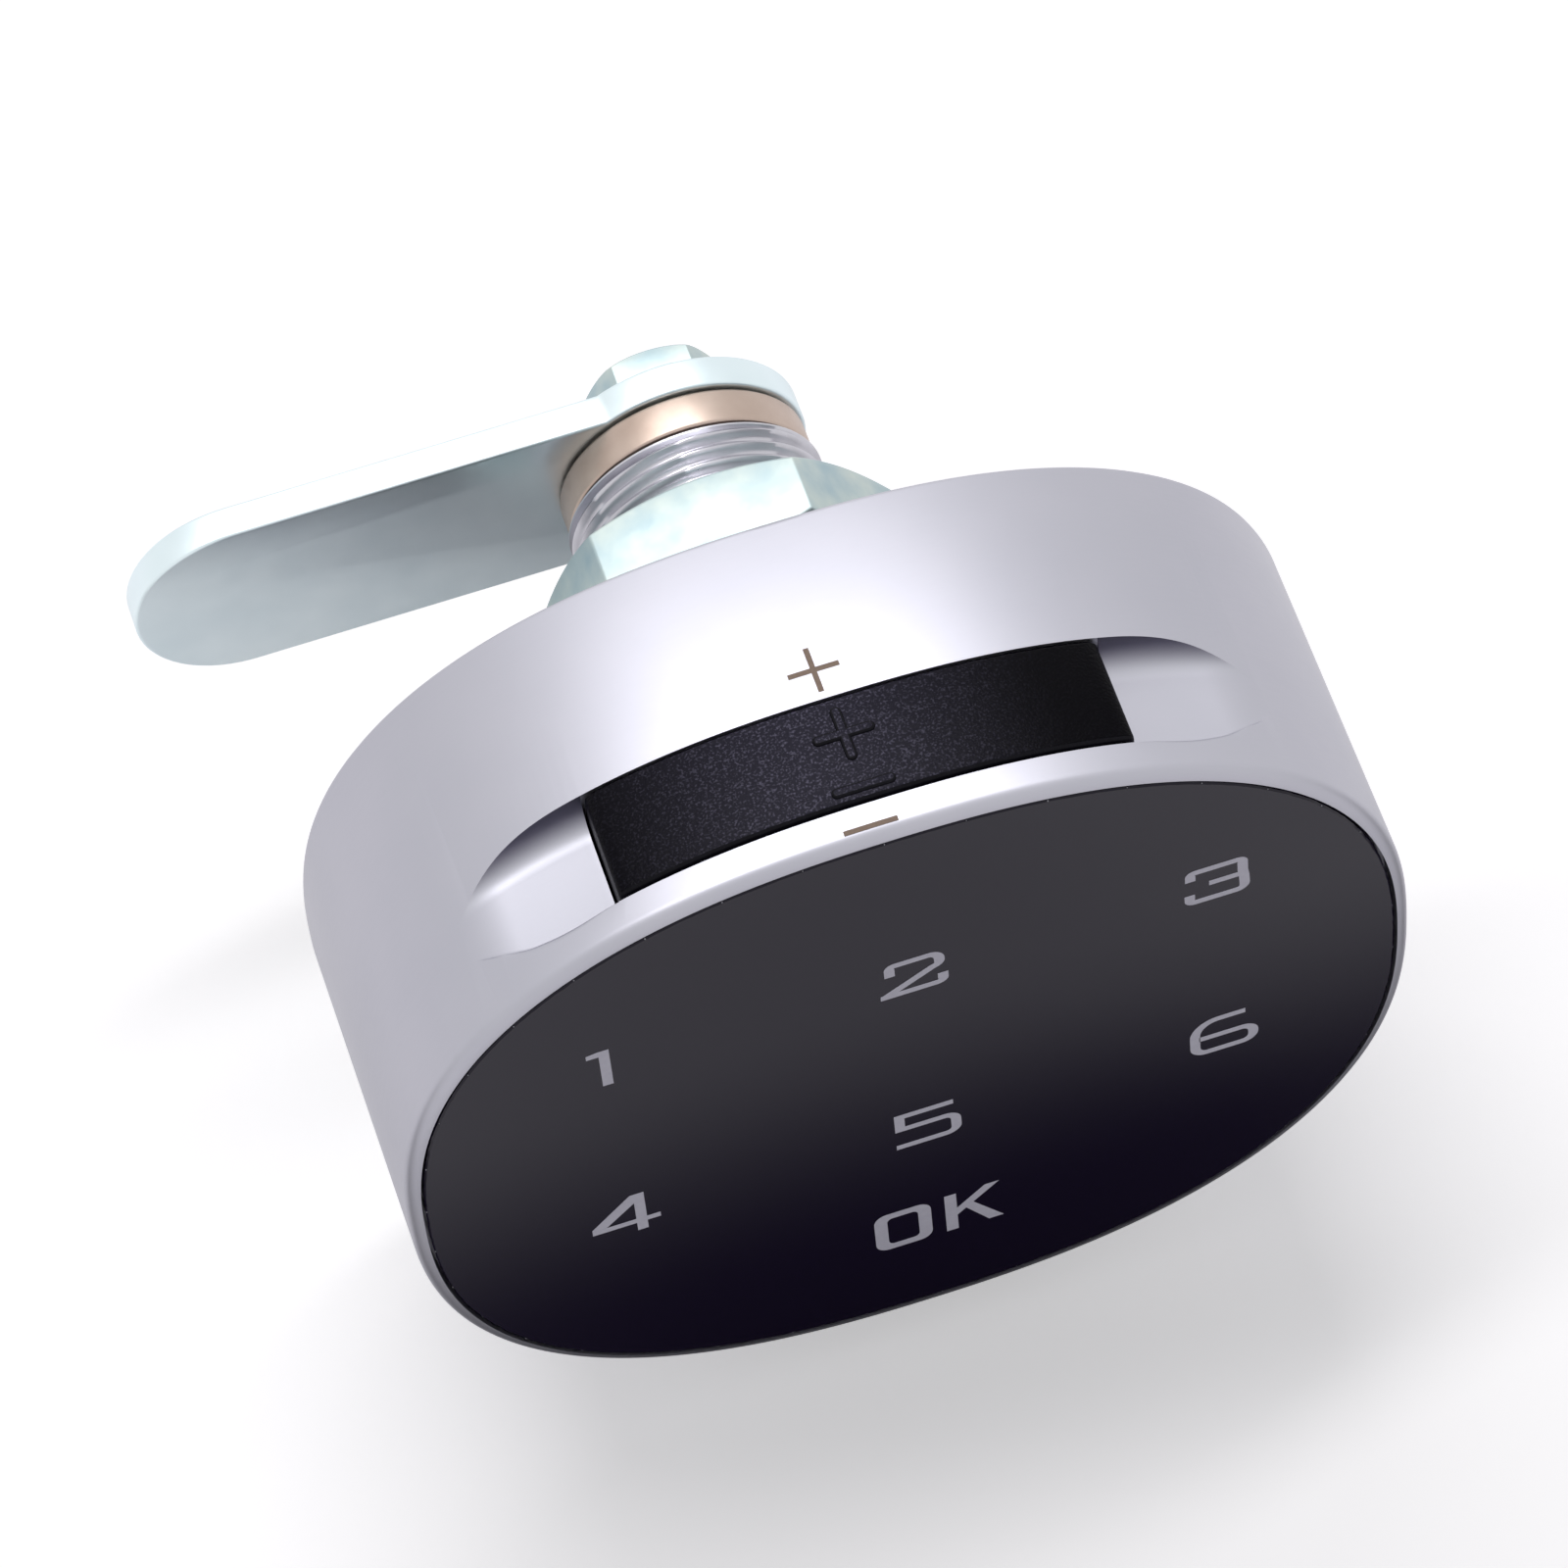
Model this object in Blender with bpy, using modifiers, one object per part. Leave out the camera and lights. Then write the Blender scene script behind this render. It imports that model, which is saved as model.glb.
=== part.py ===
"""Keypad cam lock for a locker door: an oval die-cast knob with a touch panel and a battery drawer,
a barrel that clamps in the door, and a cam that the knob turns through a quarter turn.

Frame, in metres: the origin is on the barrel's axis where it leaves the door's outer face.
+X points to the right of a person facing the panel, +Y runs into the locker, +Z is up,
and the panel faces -Y. The lock is shown closed, with its cam pointing to -X.
"""

import math

import bmesh
import bpy
from mathutils import Matrix, Vector

MM = 0.001

# Clearances
FIT = 0.30 * MM  # between pieces that are clamped or laid against each other
THIN_FIT = 0.10 * MM  # between the thin layers behind the glass
SLIDE_FIT = 0.15 * MM  # round the battery drawer, front and back
SIDE_FIT = 0.25 * MM  # beside the battery drawer
GLASS_FIT = 0.20 * MM  # the dark line round the glass

# Head
HEAD_WIDTH = 60.0 * MM
HEAD_HEIGHT = 54.0 * MM
HEAD_POWER = 2.39  # exponent of the oval: 2 is an ellipse, more is squarer
HEAD_DEPTH = 21.6 * MM
WALL = 2.6 * MM
RIM = 0.80 * MM  # width of the fillet between the side and the glass
BACK_EDGE = 0.35 * MM
WEB_THICKNESS = 1.5 * MM
OVAL_POINTS = 88

# Glass and what lies behind it
GLASS_THICKNESS = 1.1 * MM
TAPE_THICKNESS = 0.3 * MM
BOARD_THICKNESS = 0.6 * MM
WINDOW_ROOF = 1.3 * MM  # metal between the board's window and the scoops' floor

# Battery drawer and the finger scoops beside it
STRIP = 2.3 * MM  # metal between the drawer's slot and the glass
DRAWER_WIDTH = 29.7 * MM
DRAWER_THICKNESS = 6.55 * MM
SCOOP_DEPTH = 6.7 * MM  # from the top of the head down to the scoops' outer ends
SCOOP_STEP = 4.45 * MM  # from the top of the head down to a scoop's floor beside the drawer
SCOOP_TILT = math.radians(17)  # the floors fall away from the drawer with the head's own curve
SCOOP_REACH = 11.0 * MM  # length of a scoop's cutter outwards from the drawer
SCOOP_FILLET = 1.35 * MM
CELL_RADIUS = 12.25 * MM
CELL_THICKNESS = 5.0 * MM
CAP_THICKNESS = 4.35 * MM  # from the top of the head down to the cell
TRAY_WALL = 1.5 * MM
TRAY_FLOOR = 0.5 * MM
CONTACT_THICKNESS = 0.2 * MM
GUIDE_FLOOR = 0.55 * MM
GUIDE_WALL = 1.3 * MM
MARK_LENGTH = 2.9 * MM
MARK_STROKE = 0.65 * MM
MARK_HEIGHT = 0.15 * MM
MARK_PLUS = 6.9 * MM  # distance of each moulded mark from the panel's face
MARK_MINUS = 3.6 * MM

# Electronics
MAIN_BOARD_THICKNESS = 0.9 * MM
CHIP_SIDE = 6.0 * MM
CHIP_HEIGHT = 1.0 * MM
BUZZER_RADIUS = 4.5 * MM
BUZZER_HEIGHT = 3.4 * MM
CONNECTOR_LENGTH = 11.0 * MM
CONNECTOR_DEPTH = 2.4 * MM

# Door side
DOOR_GAP = 0.8 * MM
GASKET_THICKNESS = 0.8 * MM
SEAT_RADIUS = 19.5 * MM
SEAT_THICKNESS = 1.8 * MM
COVER_THICKNESS = 2.4 * MM
LOCK_RING_WALL = 4.0 * MM
LOCK_RING_THICKNESS = 2.2 * MM
BARREL_RADIUS = 8.0 * MM
BARREL_LENGTH = 19.5 * MM
BARREL_FLAT = 6.9 * MM
SPINDLE_RADIUS = 5.0 * MM
DRIVE_RADIUS = 9.5 * MM
DRIVE_SCREW_CIRCLE = 7.2 * MM
SQUARE = 8.0 * MM
NUT_BACK = 14.1 * MM
NUT_THICKNESS = 6.1 * MM
NUT_FLATS = 22.0 * MM
NUT_TURN = math.radians(8)
WASHER_RADIUS = 12.0 * MM
WASHER_THICKNESS = 1.2 * MM
COLLAR_RADIUS = 7.7 * MM
COLLAR_THICKNESS = 2.1 * MM
CAM_GAP = 0.4 * MM
CAM_THICKNESS = 2.15 * MM
CAM_HUB_RADIUS = 7.9 * MM
CAM_WIDTH = 13.5 * MM
CAM_REACH = 34.0 * MM
TURN_ANGLE = math.radians(90)
STOP_HALF_ANGLE = math.radians(14)
STOP_DEPTH = 1.5 * MM
BOLT_RADIUS = 2.5 * MM
BOLT_HEAD_FLATS = 8.2 * MM
BOLT_HEAD_HEIGHT = 3.0 * MM
BOLT_LENGTH = 12.0 * MM
SPRING_WASHER_RADIUS = 5.6 * MM
SPRING_WASHER_THICKNESS = 1.0 * MM

# Blocking plunger
PLUNGER_TRAVEL = 2.0 * MM
PLUNGER_WIDTH = 3.4 * MM
PLUNGER_TONGUE = 2.2 * MM
PLUNGER_BLOCK = 2.0 * MM
PLUNGER_ROD = 1.0 * MM
PLUNGER_ROD_LENGTH = 5.5 * MM
SOLENOID_LENGTH = 9.3 * MM

# Screws
COVER_SCREW_INSET_X = 11.0 * MM  # from the head's side and top to each cover screw
COVER_SCREW_INSET_Z = 12.0 * MM
SCREW_RADIUS = 1.0 * MM
SCREW_HEAD_RADIUS = 1.9 * MM
SCREW_HEAD_HEIGHT = 1.2 * MM
BOSS_RADIUS = 2.4 * MM
RIB = 1.2 * MM

# Heights and widths that follow from the head's size
TOP = HEAD_HEIGHT / 2
SCOOP_FLOOR = TOP - SCOOP_DEPTH
WINDOW_TOP = SCOOP_FLOOR - WINDOW_ROOF
CELL_HEIGHT = TOP - CAP_THICKNESS - CELL_RADIUS
TRAY_BOTTOM = CELL_HEIGHT - CELL_RADIUS - THIN_FIT - TRAY_WALL
GUIDE_STOP = TRAY_BOTTOM - FIT
MAIN_BOARD_TOP = GUIDE_STOP - GUIDE_WALL - FIT
COVER_SCREW_X = HEAD_WIDTH / 2 - COVER_SCREW_INSET_X
COVER_SCREW_Z = TOP - COVER_SCREW_INSET_Z

# Layers, from the panel's face to the locker's inside
Y_FRONT = -(DOOR_GAP + HEAD_DEPTH)
Y_HEAD_BACK = -DOOR_GAP
Y_LEDGE = Y_FRONT + GLASS_THICKNESS + TAPE_THICKNESS + 2 * THIN_FIT
Y_BOARD = Y_FRONT + GLASS_THICKNESS + THIN_FIT
Y_SLOT = Y_FRONT + STRIP
Y_DRAWER = Y_SLOT + SLIDE_FIT
Y_DRAWER_BACK = Y_DRAWER + DRAWER_THICKNESS
Y_WEB = Y_DRAWER_BACK + SLIDE_FIT
Y_WEB_BACK = Y_WEB + WEB_THICKNESS
Y_CELL = Y_DRAWER + SLIDE_FIT
Y_POCKET = Y_CELL + CELL_THICKNESS + THIN_FIT
Y_TRAY_BACK = Y_POCKET + TRAY_FLOOR
Y_CONTACT = Y_TRAY_BACK + THIN_FIT / 2
Y_GUIDE_FLOOR = Y_WEB - SLIDE_FIT - GUIDE_FLOOR
Y_MAIN_BOARD = Y_GUIDE_FLOOR - SLIDE_FIT - MAIN_BOARD_THICKNESS
Y_SEAT_BACK = -(GASKET_THICKNESS + FIT)
Y_SEAT = Y_SEAT_BACK - SEAT_THICKNESS
Y_COVER_BACK = Y_SEAT - FIT
Y_COVER = Y_COVER_BACK - COVER_THICKNESS
Y_RING_BACK = Y_COVER - FIT
Y_RING = Y_RING_BACK - LOCK_RING_THICKNESS
Y_BARREL_FRONT = Y_RING - THIN_FIT
Y_DRIVE = Y_WEB_BACK + FIT
Y_DRIVE_BACK = Y_BARREL_FRONT - FIT
Y_COLLAR = BARREL_LENGTH + FIT
Y_COLLAR_BACK = Y_COLLAR + COLLAR_THICKNESS
Y_CAM = Y_COLLAR_BACK + CAM_GAP
Y_CAM_BACK = Y_CAM + CAM_THICKNESS
Y_SPINDLE_END = Y_CAM_BACK - FIT
Y_SPRING_WASHER = Y_CAM_BACK + FIT
Y_BOLT_HEAD = Y_SPRING_WASHER + SPRING_WASHER_THICKNESS + FIT
SOLENOID_RADIUS = (Y_COVER - Y_WEB_BACK - 2 * FIT) / 2
Y_SOLENOID = Y_WEB_BACK + FIT + SOLENOID_RADIUS
LOCK_RING_RADIUS = BARREL_RADIUS + LOCK_RING_WALL
X_TONGUE = LOCK_RING_RADIUS + FIT
X_BLOCK = X_TONGUE + PLUNGER_TONGUE
X_SOLENOID = X_BLOCK + PLUNGER_BLOCK + 1.5 * FIT

# Outlines in the panel's plane use X and Z, an extrusion along the barrel maps its local Z to -Y
FACING_PANEL = Matrix.Rotation(math.radians(90), 4, "X")
# A turned piece is drawn with its axis on local Z, which becomes world +Y
ALONG_BARREL = Matrix.Rotation(math.radians(-90), 4, "X")
# A bar's outline is drawn in Y and Z and runs along X
ALONG_WIDTH = Matrix(((0, 0, 1, 0), (1, 0, 0, 0), (0, 1, 0, 0), (0, 0, 0, 1)))


def clear_scene():
    for item in list(bpy.data.objects):
        bpy.data.objects.remove(item, do_unlink=True)


def new_collection(name):
    collection = bpy.data.collections.new(name)
    bpy.context.scene.collection.children.link(collection)
    return collection


clear_scene()
LOCK = new_collection("keypad_cam_lock")
CUTTERS = new_collection("cutters")
CUTTERS.hide_render = True


def finish(name, colour, metallic, roughness):
    """One Principled material for one sub-part."""
    material = bpy.data.materials.new(name)
    material.use_nodes = True
    shader = material.node_tree.nodes["Principled BSDF"]
    shader.inputs["Base Color"].default_value = (*colour, 1.0)
    shader.inputs["Metallic"].default_value = metallic
    shader.inputs["Roughness"].default_value = roughness
    return material


def add_object(name, mesh, matrix=None, collection=LOCK):
    obj = bpy.data.objects.new(name, mesh)
    collection.objects.link(obj)
    if matrix is not None:
        obj.matrix_world = matrix
    if collection is CUTTERS:
        obj.hide_render = True
        obj.display_type = "WIRE"
    return obj


def mesh_from(name, build):
    """A mesh that a function fills through bmesh."""
    mesh = bpy.data.meshes.new(name)
    shape = bmesh.new()
    build(shape)
    bmesh.ops.recalc_face_normals(shape, faces=shape.faces)
    shape.to_mesh(mesh)
    shape.free()
    return mesh


def box(name, x, y, z, collection=CUTTERS):
    """A block between two limits on each axis, from a cube primitive."""
    size = Vector((x[1] - x[0], y[1] - y[0], z[1] - z[0]))
    centre = Vector(((x[0] + x[1]) / 2, (y[0] + y[1]) / 2, (z[0] + z[1]) / 2))

    def build(shape):
        bmesh.ops.create_cube(shape, size=1.0, matrix=Matrix.Diagonal(size).to_4x4())

    return add_object(name, mesh_from(name, build), Matrix.Translation(centre), collection)


def rod(name, radius, start, end, sides=20, collection=CUTTERS):
    """A round bar between two points, from a cylinder primitive."""
    start, end = Vector(start), Vector(end)
    length = (end - start).length
    turn = (end - start).to_track_quat("Z", "Y").to_matrix().to_4x4()

    def build(shape):
        bmesh.ops.create_cone(
            shape, cap_ends=True, segments=sides, radius1=radius, radius2=radius, depth=length
        )

    place = Matrix.Translation((start + end) / 2) @ turn
    return add_object(name, mesh_from(name, build), place, collection)


def turned(name, profile, sides=48, closed=False, collection=LOCK, matrix=None):
    """A turned piece: (radius, y) pairs from the back end down the outer side to the front end.
    A closed profile goes on up its bore."""
    mesh = bpy.data.meshes.new(name)
    points = [(radius, 0.0, height) for radius, height in profile]
    edges = [(i, i + 1) for i in range(len(points) - 1)]
    if closed:
        edges.append((len(points) - 1, 0))
    mesh.from_pydata(points, edges, [])
    obj = add_object(name, mesh, ALONG_BARREL if matrix is None else matrix, collection)
    screw = obj.modifiers.new("turn", "SCREW")
    screw.axis = "Z"
    screw.steps = screw.render_steps = sides
    screw.use_merge_vertices = True
    screw.merge_threshold = 0.00001
    screw.use_smooth_shade = False
    return obj


def solid_from_outline(name, loops, low, high, turn=FACING_PANEL, collection=LOCK):
    """A flat outline, with its holes, extruded between two distances along the view axis."""
    curve = bpy.data.curves.new(name, "CURVE")
    curve.dimensions = "2D"
    curve.fill_mode = "BOTH"
    curve.extrude = (high - low) / 2
    for loop in loops:
        spline = curve.splines.new("POLY")
        spline.points.add(len(loop) - 1)
        for point, (u, v) in zip(spline.points, loop):
            point.co = (u, v, 0.0, 1.0)
        spline.use_cyclic_u = True
    axis = {"panel": Vector((0, 1, 0)), "width": Vector((1, 0, 0)), "up": Vector((0, 0, 1))}
    if turn is FACING_PANEL:
        direction = axis["panel"]
    elif turn is ALONG_WIDTH:
        direction = axis["width"]
    else:
        direction = axis["up"]
    place = Matrix.Translation(direction * (low + high) / 2) @ turn
    drawn = add_object(name + "_outline", curve, place, collection)
    bpy.context.view_layer.update()
    graph = bpy.context.evaluated_depsgraph_get()
    mesh = bpy.data.meshes.new_from_object(drawn.evaluated_get(graph))
    bpy.data.objects.remove(drawn, do_unlink=True)
    shape = bmesh.new()
    shape.from_mesh(mesh)
    bmesh.ops.remove_doubles(shape, verts=shape.verts, dist=0.000001)
    bmesh.ops.dissolve_limit(
        shape, angle_limit=math.radians(0.5), verts=shape.verts, edges=shape.edges
    )
    bmesh.ops.recalc_face_normals(shape, faces=shape.faces)
    shape.to_mesh(mesh)
    shape.free()
    mesh.name = name
    return add_object(name, mesh, place, collection)


def boolean(target, tool, operation):
    modifier = target.modifiers.new(tool.name, "BOOLEAN")
    modifier.operation = operation
    modifier.solver = "EXACT"
    modifier.object = tool
    return target


def cut(target, *tools):
    for tool in tools:
        boolean(target, tool, "DIFFERENCE")
    return target


def join(target, *tools):
    for tool in tools:
        boolean(target, tool, "UNION")
    return target


def bevel_edges(obj, width, segments, weights=None):
    """Rounds every sharp edge, or only those that a weight function picks out."""
    modifier = obj.modifiers.new("fillet", "BEVEL")
    modifier.width = width
    modifier.segments = segments
    modifier.use_clamp_overlap = True
    if weights is None:
        modifier.limit_method = "ANGLE"
        modifier.angle_limit = math.radians(35)
        return obj
    modifier.limit_method = "WEIGHT"
    layer = obj.data.attributes.new("bevel_weight_edge", "FLOAT", "EDGE")
    for edge in obj.data.edges:
        ends = [obj.matrix_world @ obj.data.vertices[i].co for i in edge.vertices]
        layer.data[edge.index].value = weights(*ends)
    return obj


def oval(inset=0.0, top=None):
    """The head's outline, moved inwards, with its top cut off level."""
    across, up = HEAD_WIDTH / 2 - inset, HEAD_HEIGHT / 2 - inset
    points = []
    for i in range(OVAL_POINTS):
        angle = 2 * math.pi * (i + 0.5) / OVAL_POINTS + math.pi / 2
        c, s = math.cos(angle), math.sin(angle)
        x = across * math.copysign(abs(c) ** (2 / HEAD_POWER), c)
        z = up * math.copysign(abs(s) ** (2 / HEAD_POWER), s)
        points.append((x, z))
    if top is None:
        return points
    reach = across * (1 - (abs(top) / up) ** HEAD_POWER) ** (1 / HEAD_POWER)
    kept = [(x, z) for x, z in points if z < top - THIN_FIT]
    return [(-reach, top)] + kept + [(reach, top)]


def ring(radius, count=48, centre=(0.0, 0.0)):
    return [
        (
            centre[0] + radius * math.cos(2 * math.pi * i / count),
            centre[1] + radius * math.sin(2 * math.pi * i / count),
        )
        for i in range(count)
    ]


def squared_round(across, radius, count=64):
    """A square with its corners turned down to a circle."""
    points = []
    for i in range(count):
        angle = 2 * math.pi * (i + 0.5) / count
        c, s = math.cos(angle), math.sin(angle)
        reach = min(radius, across / 2 / max(abs(c), abs(s)))
        points.append((reach * c, reach * s))
    return points


def sector(inner, outer, start, end, steps=14):
    """A piece of a ring between two angles."""
    angles = [start + (end - start) * i / steps for i in range(steps + 1)]
    points = [(outer * math.cos(a), outer * math.sin(a)) for a in angles]
    return points + [(inner * math.cos(a), inner * math.sin(a)) for a in reversed(angles)]


def bar_outline(length, stroke, centre):
    u, v = length / 2, stroke / 2
    return [
        (centre[0] + u, centre[1] - v),
        (centre[0] + u, centre[1] + v),
        (centre[0] - u, centre[1] + v),
        (centre[0] - u, centre[1] - v),
    ]


def rounded_bar(length, width, centre):
    """A rectangle with its four corners rounded."""
    radius = 0.4 * min(length, width)
    points = []
    for quarter, (u, v) in enumerate(((1, 1), (-1, 1), (-1, -1), (1, -1))):
        for i in range(4):
            angle = math.radians(90 * quarter + 30 * i)
            points.append(
                (
                    centre[0] + u * (length / 2 - radius) + radius * math.cos(angle),
                    centre[1] + v * (width / 2 - radius) + radius * math.sin(angle),
                )
            )
    return points


def cross_recess(screw, centre, floor):
    """Two crossing slots for a driver in a screw's head."""
    long, short = 0.65 * SCREW_HEAD_RADIUS, 0.2 * SCREW_RADIUS
    for name, u, v in (("wide", long, short), ("tall", short, long)):
        slot = box(
            f"{screw.name}_{name}_slot",
            (centre[0] - u, centre[0] + u),
            (floor, floor + WALL),
            (centre[1] - v, centre[1] + v),
        )
        cut(screw, slot)


def mirrored_pairs(x, z):
    return [(x, z), (-x, z), (x, -z), (-x, -z)]


# Axes of the moving pieces
def empty(name, location):
    marker = bpy.data.objects.new(name, None)
    marker.location = location
    LOCK.objects.link(marker)
    return marker


base_axis = empty("fixed_to_door", (0, 0, 0))
knob_axis = empty("knob_axis", (0, 0, 0))
drawer_axis = empty("drawer_runner", (0, Y_DRAWER, CELL_HEIGHT))
plunger_axis = empty("plunger_line", (X_TONGUE, Y_SOLENOID, 0))


def dress(obj, parent, material):
    """Hangs a piece on its axis and gives it its material."""
    obj.parent = parent
    obj.matrix_parent_inverse = Matrix.Translation(parent.location).inverted()
    obj.data.materials.append(material)
    return obj


# Housing: an oval die casting, open at the front for the glass and at the back for the cover,
# with a cross web that carries the spindle
housing = solid_from_outline("housing", [oval()], Y_FRONT, Y_HEAD_BACK)


def rim_weight(a, b):
    if abs(a.y - b.y) > 0.0001 or abs(a.y - Y_FRONT) < 0.0001:
        return 1.0 if abs(a.y - b.y) < 0.0001 else 0.0
    return BACK_EDGE / RIM


bevel_edges(housing, RIM, 4, rim_weight)
cut(
    housing,
    solid_from_outline(
        "glass_pocket", [oval(RIM)], Y_FRONT - WALL, Y_LEDGE, collection=CUTTERS
    ),
    solid_from_outline(
        "front_cavity", [oval(WALL, top=WINDOW_TOP)], Y_LEDGE - FIT, Y_WEB, collection=CUTTERS
    ),
    solid_from_outline(
        "back_cavity", [oval(WALL)], Y_WEB_BACK, Y_HEAD_BACK + WALL, collection=CUTTERS
    ),
    box(
        "drawer_slot",
        (-DRAWER_WIDTH / 2 - SIDE_FIT, DRAWER_WIDTH / 2 + SIDE_FIT),
        (Y_SLOT, Y_WEB),
        (WINDOW_TOP - WALL, HEAD_HEIGHT),
    ),
)


def scoop_outline():
    """Flat floor at height 0, a wide fillet up the rear wall and a small one at the front."""
    small = SCOOP_FILLET / 3
    points = []
    for i in range(7):
        a = math.radians(-90 + 90 * i / 6)
        points.append(
            (
                Y_WEB - SCOOP_FILLET + SCOOP_FILLET * math.cos(a),
                SCOOP_FILLET + SCOOP_FILLET * math.sin(a),
            )
        )
    points += [(Y_WEB, HEAD_HEIGHT), (Y_SLOT, HEAD_HEIGHT)]
    for i in range(5):
        a = math.radians(180 + 90 * i / 4)
        points.append((Y_SLOT + small + small * math.cos(a), small + small * math.sin(a)))
    return points


for side, name in ((1, "right"), (-1, "left")):
    inner, outer = sorted((-side * WALL, side * SCOOP_REACH))
    scoop = solid_from_outline(
        f"finger_scoop_{name}", [scoop_outline()], inner, outer, ALONG_WIDTH, CUTTERS
    )
    mouth = (side * (DRAWER_WIDTH / 2 + SIDE_FIT), 0, TOP - SCOOP_STEP)
    scoop.matrix_world = (
        Matrix.Translation(mouth)
        @ Matrix.Rotation(side * SCOOP_TILT, 4, "Y")
        @ scoop.matrix_world
    )
    cut(housing, scoop)
for i, (x, z) in enumerate(mirrored_pairs(COVER_SCREW_X, COVER_SCREW_Z)):
    boss_end = Y_COVER - FIT
    join(
        housing,
        rod(f"cover_boss_{i + 1}", BOSS_RADIUS, (x, Y_WEB_BACK - FIT, z), (x, boss_end, z)),
    )
    rib = box(
        f"boss_rib_{i + 1}",
        (-RIB / 2, RIB / 2),
        (Y_WEB_BACK - FIT, boss_end - RIB),
        (0, BOSS_RADIUS + WALL),
    )
    rib.matrix_world = (
        Matrix.Translation((x, 0, z))
        @ Matrix.Rotation(math.atan2(x, z), 4, "Y")
        @ rib.matrix_world
    )
    join(housing, rib)
    cut(
        housing,
        rod(f"boss_hole_{i + 1}", SCREW_RADIUS + FIT, (x, Y_WEB_BACK + RIB, z), (x, 0, z), 16),
    )

# Cradle for the solenoid and guide ribs for its plunger, cast on the web
cradle_end = Y_SOLENOID + SOLENOID_RADIUS / 3
guide_end = Y_RING_BACK - FIT
for side in (1, -1):
    for name, start, end, inner, top in (
        ("cradle", X_SOLENOID + RIB, X_SOLENOID + SOLENOID_LENGTH - RIB, SOLENOID_RADIUS, cradle_end),
        ("plunger_guide", X_TONGUE, X_BLOCK + PLUNGER_BLOCK, PLUNGER_WIDTH / 2, guide_end),
    ):
        near, far = inner + FIT, inner + FIT + RIB
        z = (near, far) if side > 0 else (-far, -near)
        level = "upper" if side > 0 else "lower"
        join(housing, box(f"{name}_{level}", (start, end), (Y_WEB_BACK - FIT, top), z))

# Holes for the spindle's screws and for the wires to the solenoid
drive_screws = [
    (DRIVE_SCREW_CIRCLE * math.cos(a), DRIVE_SCREW_CIRCLE * math.sin(a))
    for a in (math.radians(90), math.radians(210), math.radians(330))
]
for i, (x, z) in enumerate(drive_screws):
    ends = (x, Y_WEB - FIT, z), (x, Y_WEB_BACK + FIT, z)
    cut(housing, rod(f"web_hole_{i + 1}", SCREW_RADIUS + FIT, *ends, 16))
wire_hole = (COVER_SCREW_X - 2 * BOSS_RADIUS, MAIN_BOARD_TOP - 2 * BOSS_RADIUS)
x, z = wire_hole
ends = (x, Y_WEB - FIT, z), (x, Y_WEB_BACK + FIT, z)
cut(housing, rod("wire_hole", 1.5 * SCREW_RADIUS, *ends, 16))
dress(housing, knob_axis, finish("satin_zinc_casting", (0.62, 0.61, 0.64), 1.0, 0.38))

# Glass panel, flush with the rim, on a ring of black tape
glass = solid_from_outline(
    "touch_panel", [oval(RIM + GLASS_FIT)], Y_FRONT, Y_FRONT + GLASS_THICKNESS
)
bevel_edges(glass, GLASS_FIT / 2, 1)
dress(glass, knob_axis, finish("black_glass", (0.012, 0.010, 0.016), 0.0, 0.08))

tape = solid_from_outline(
    "panel_tape",
    [oval(RIM + GLASS_FIT + FIT), oval(WALL + THIN_FIT, top=WINDOW_TOP - THIN_FIT)],
    Y_FRONT + GLASS_THICKNESS + THIN_FIT,
    Y_FRONT + GLASS_THICKNESS + THIN_FIT + TAPE_THICKNESS,
)
dress(tape, knob_axis, finish("black_foam_tape", (0.02, 0.02, 0.02), 0.0, 0.9))

# Touch board behind the glass, with the pad that meets the cell's negative face
touch_board = solid_from_outline(
    "touch_board",
    [oval(WALL + FIT, top=WINDOW_TOP - FIT)],
    Y_BOARD,
    Y_BOARD + BOARD_THICKNESS,
)
dress(touch_board, knob_axis, finish("green_board", (0.02, 0.10, 0.05), 0.0, 0.5))

pad_start = Y_BOARD + BOARD_THICKNESS + THIN_FIT / 2
contact_minus = solid_from_outline(
    "contact_minus",
    [ring(CELL_RADIUS / 2.5, 40, (0.0, CELL_HEIGHT)), ring(CELL_RADIUS / 5, 24, (0.0, CELL_HEIGHT))],
    pad_start,
    pad_start + CONTACT_THICKNESS,
)
dress(contact_minus, knob_axis, finish("gold_plate", (0.80, 0.58, 0.25), 1.0, 0.3))

# Battery drawer: a cap that carries on the head's outline, and a tray that holds the cell
half_drawer = DRAWER_WIDTH / 2
cap_bottom = SCOOP_FLOOR + FIT


def cap_outline():
    """The head's own top between the drawer's two sides, closed level below."""
    reach = 1 - (half_drawer / (HEAD_WIDTH / 2)) ** HEAD_POWER
    shoulder = HEAD_HEIGHT / 2 * reach ** (1 / HEAD_POWER)
    arc = [(x, z) for x, z in oval() if abs(x) < half_drawer - FIT and z > 0]
    arc.sort()
    return (
        [(-half_drawer, cap_bottom), (-half_drawer, shoulder)]
        + arc
        + [(half_drawer, shoulder), (half_drawer, cap_bottom)]
    )


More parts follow.
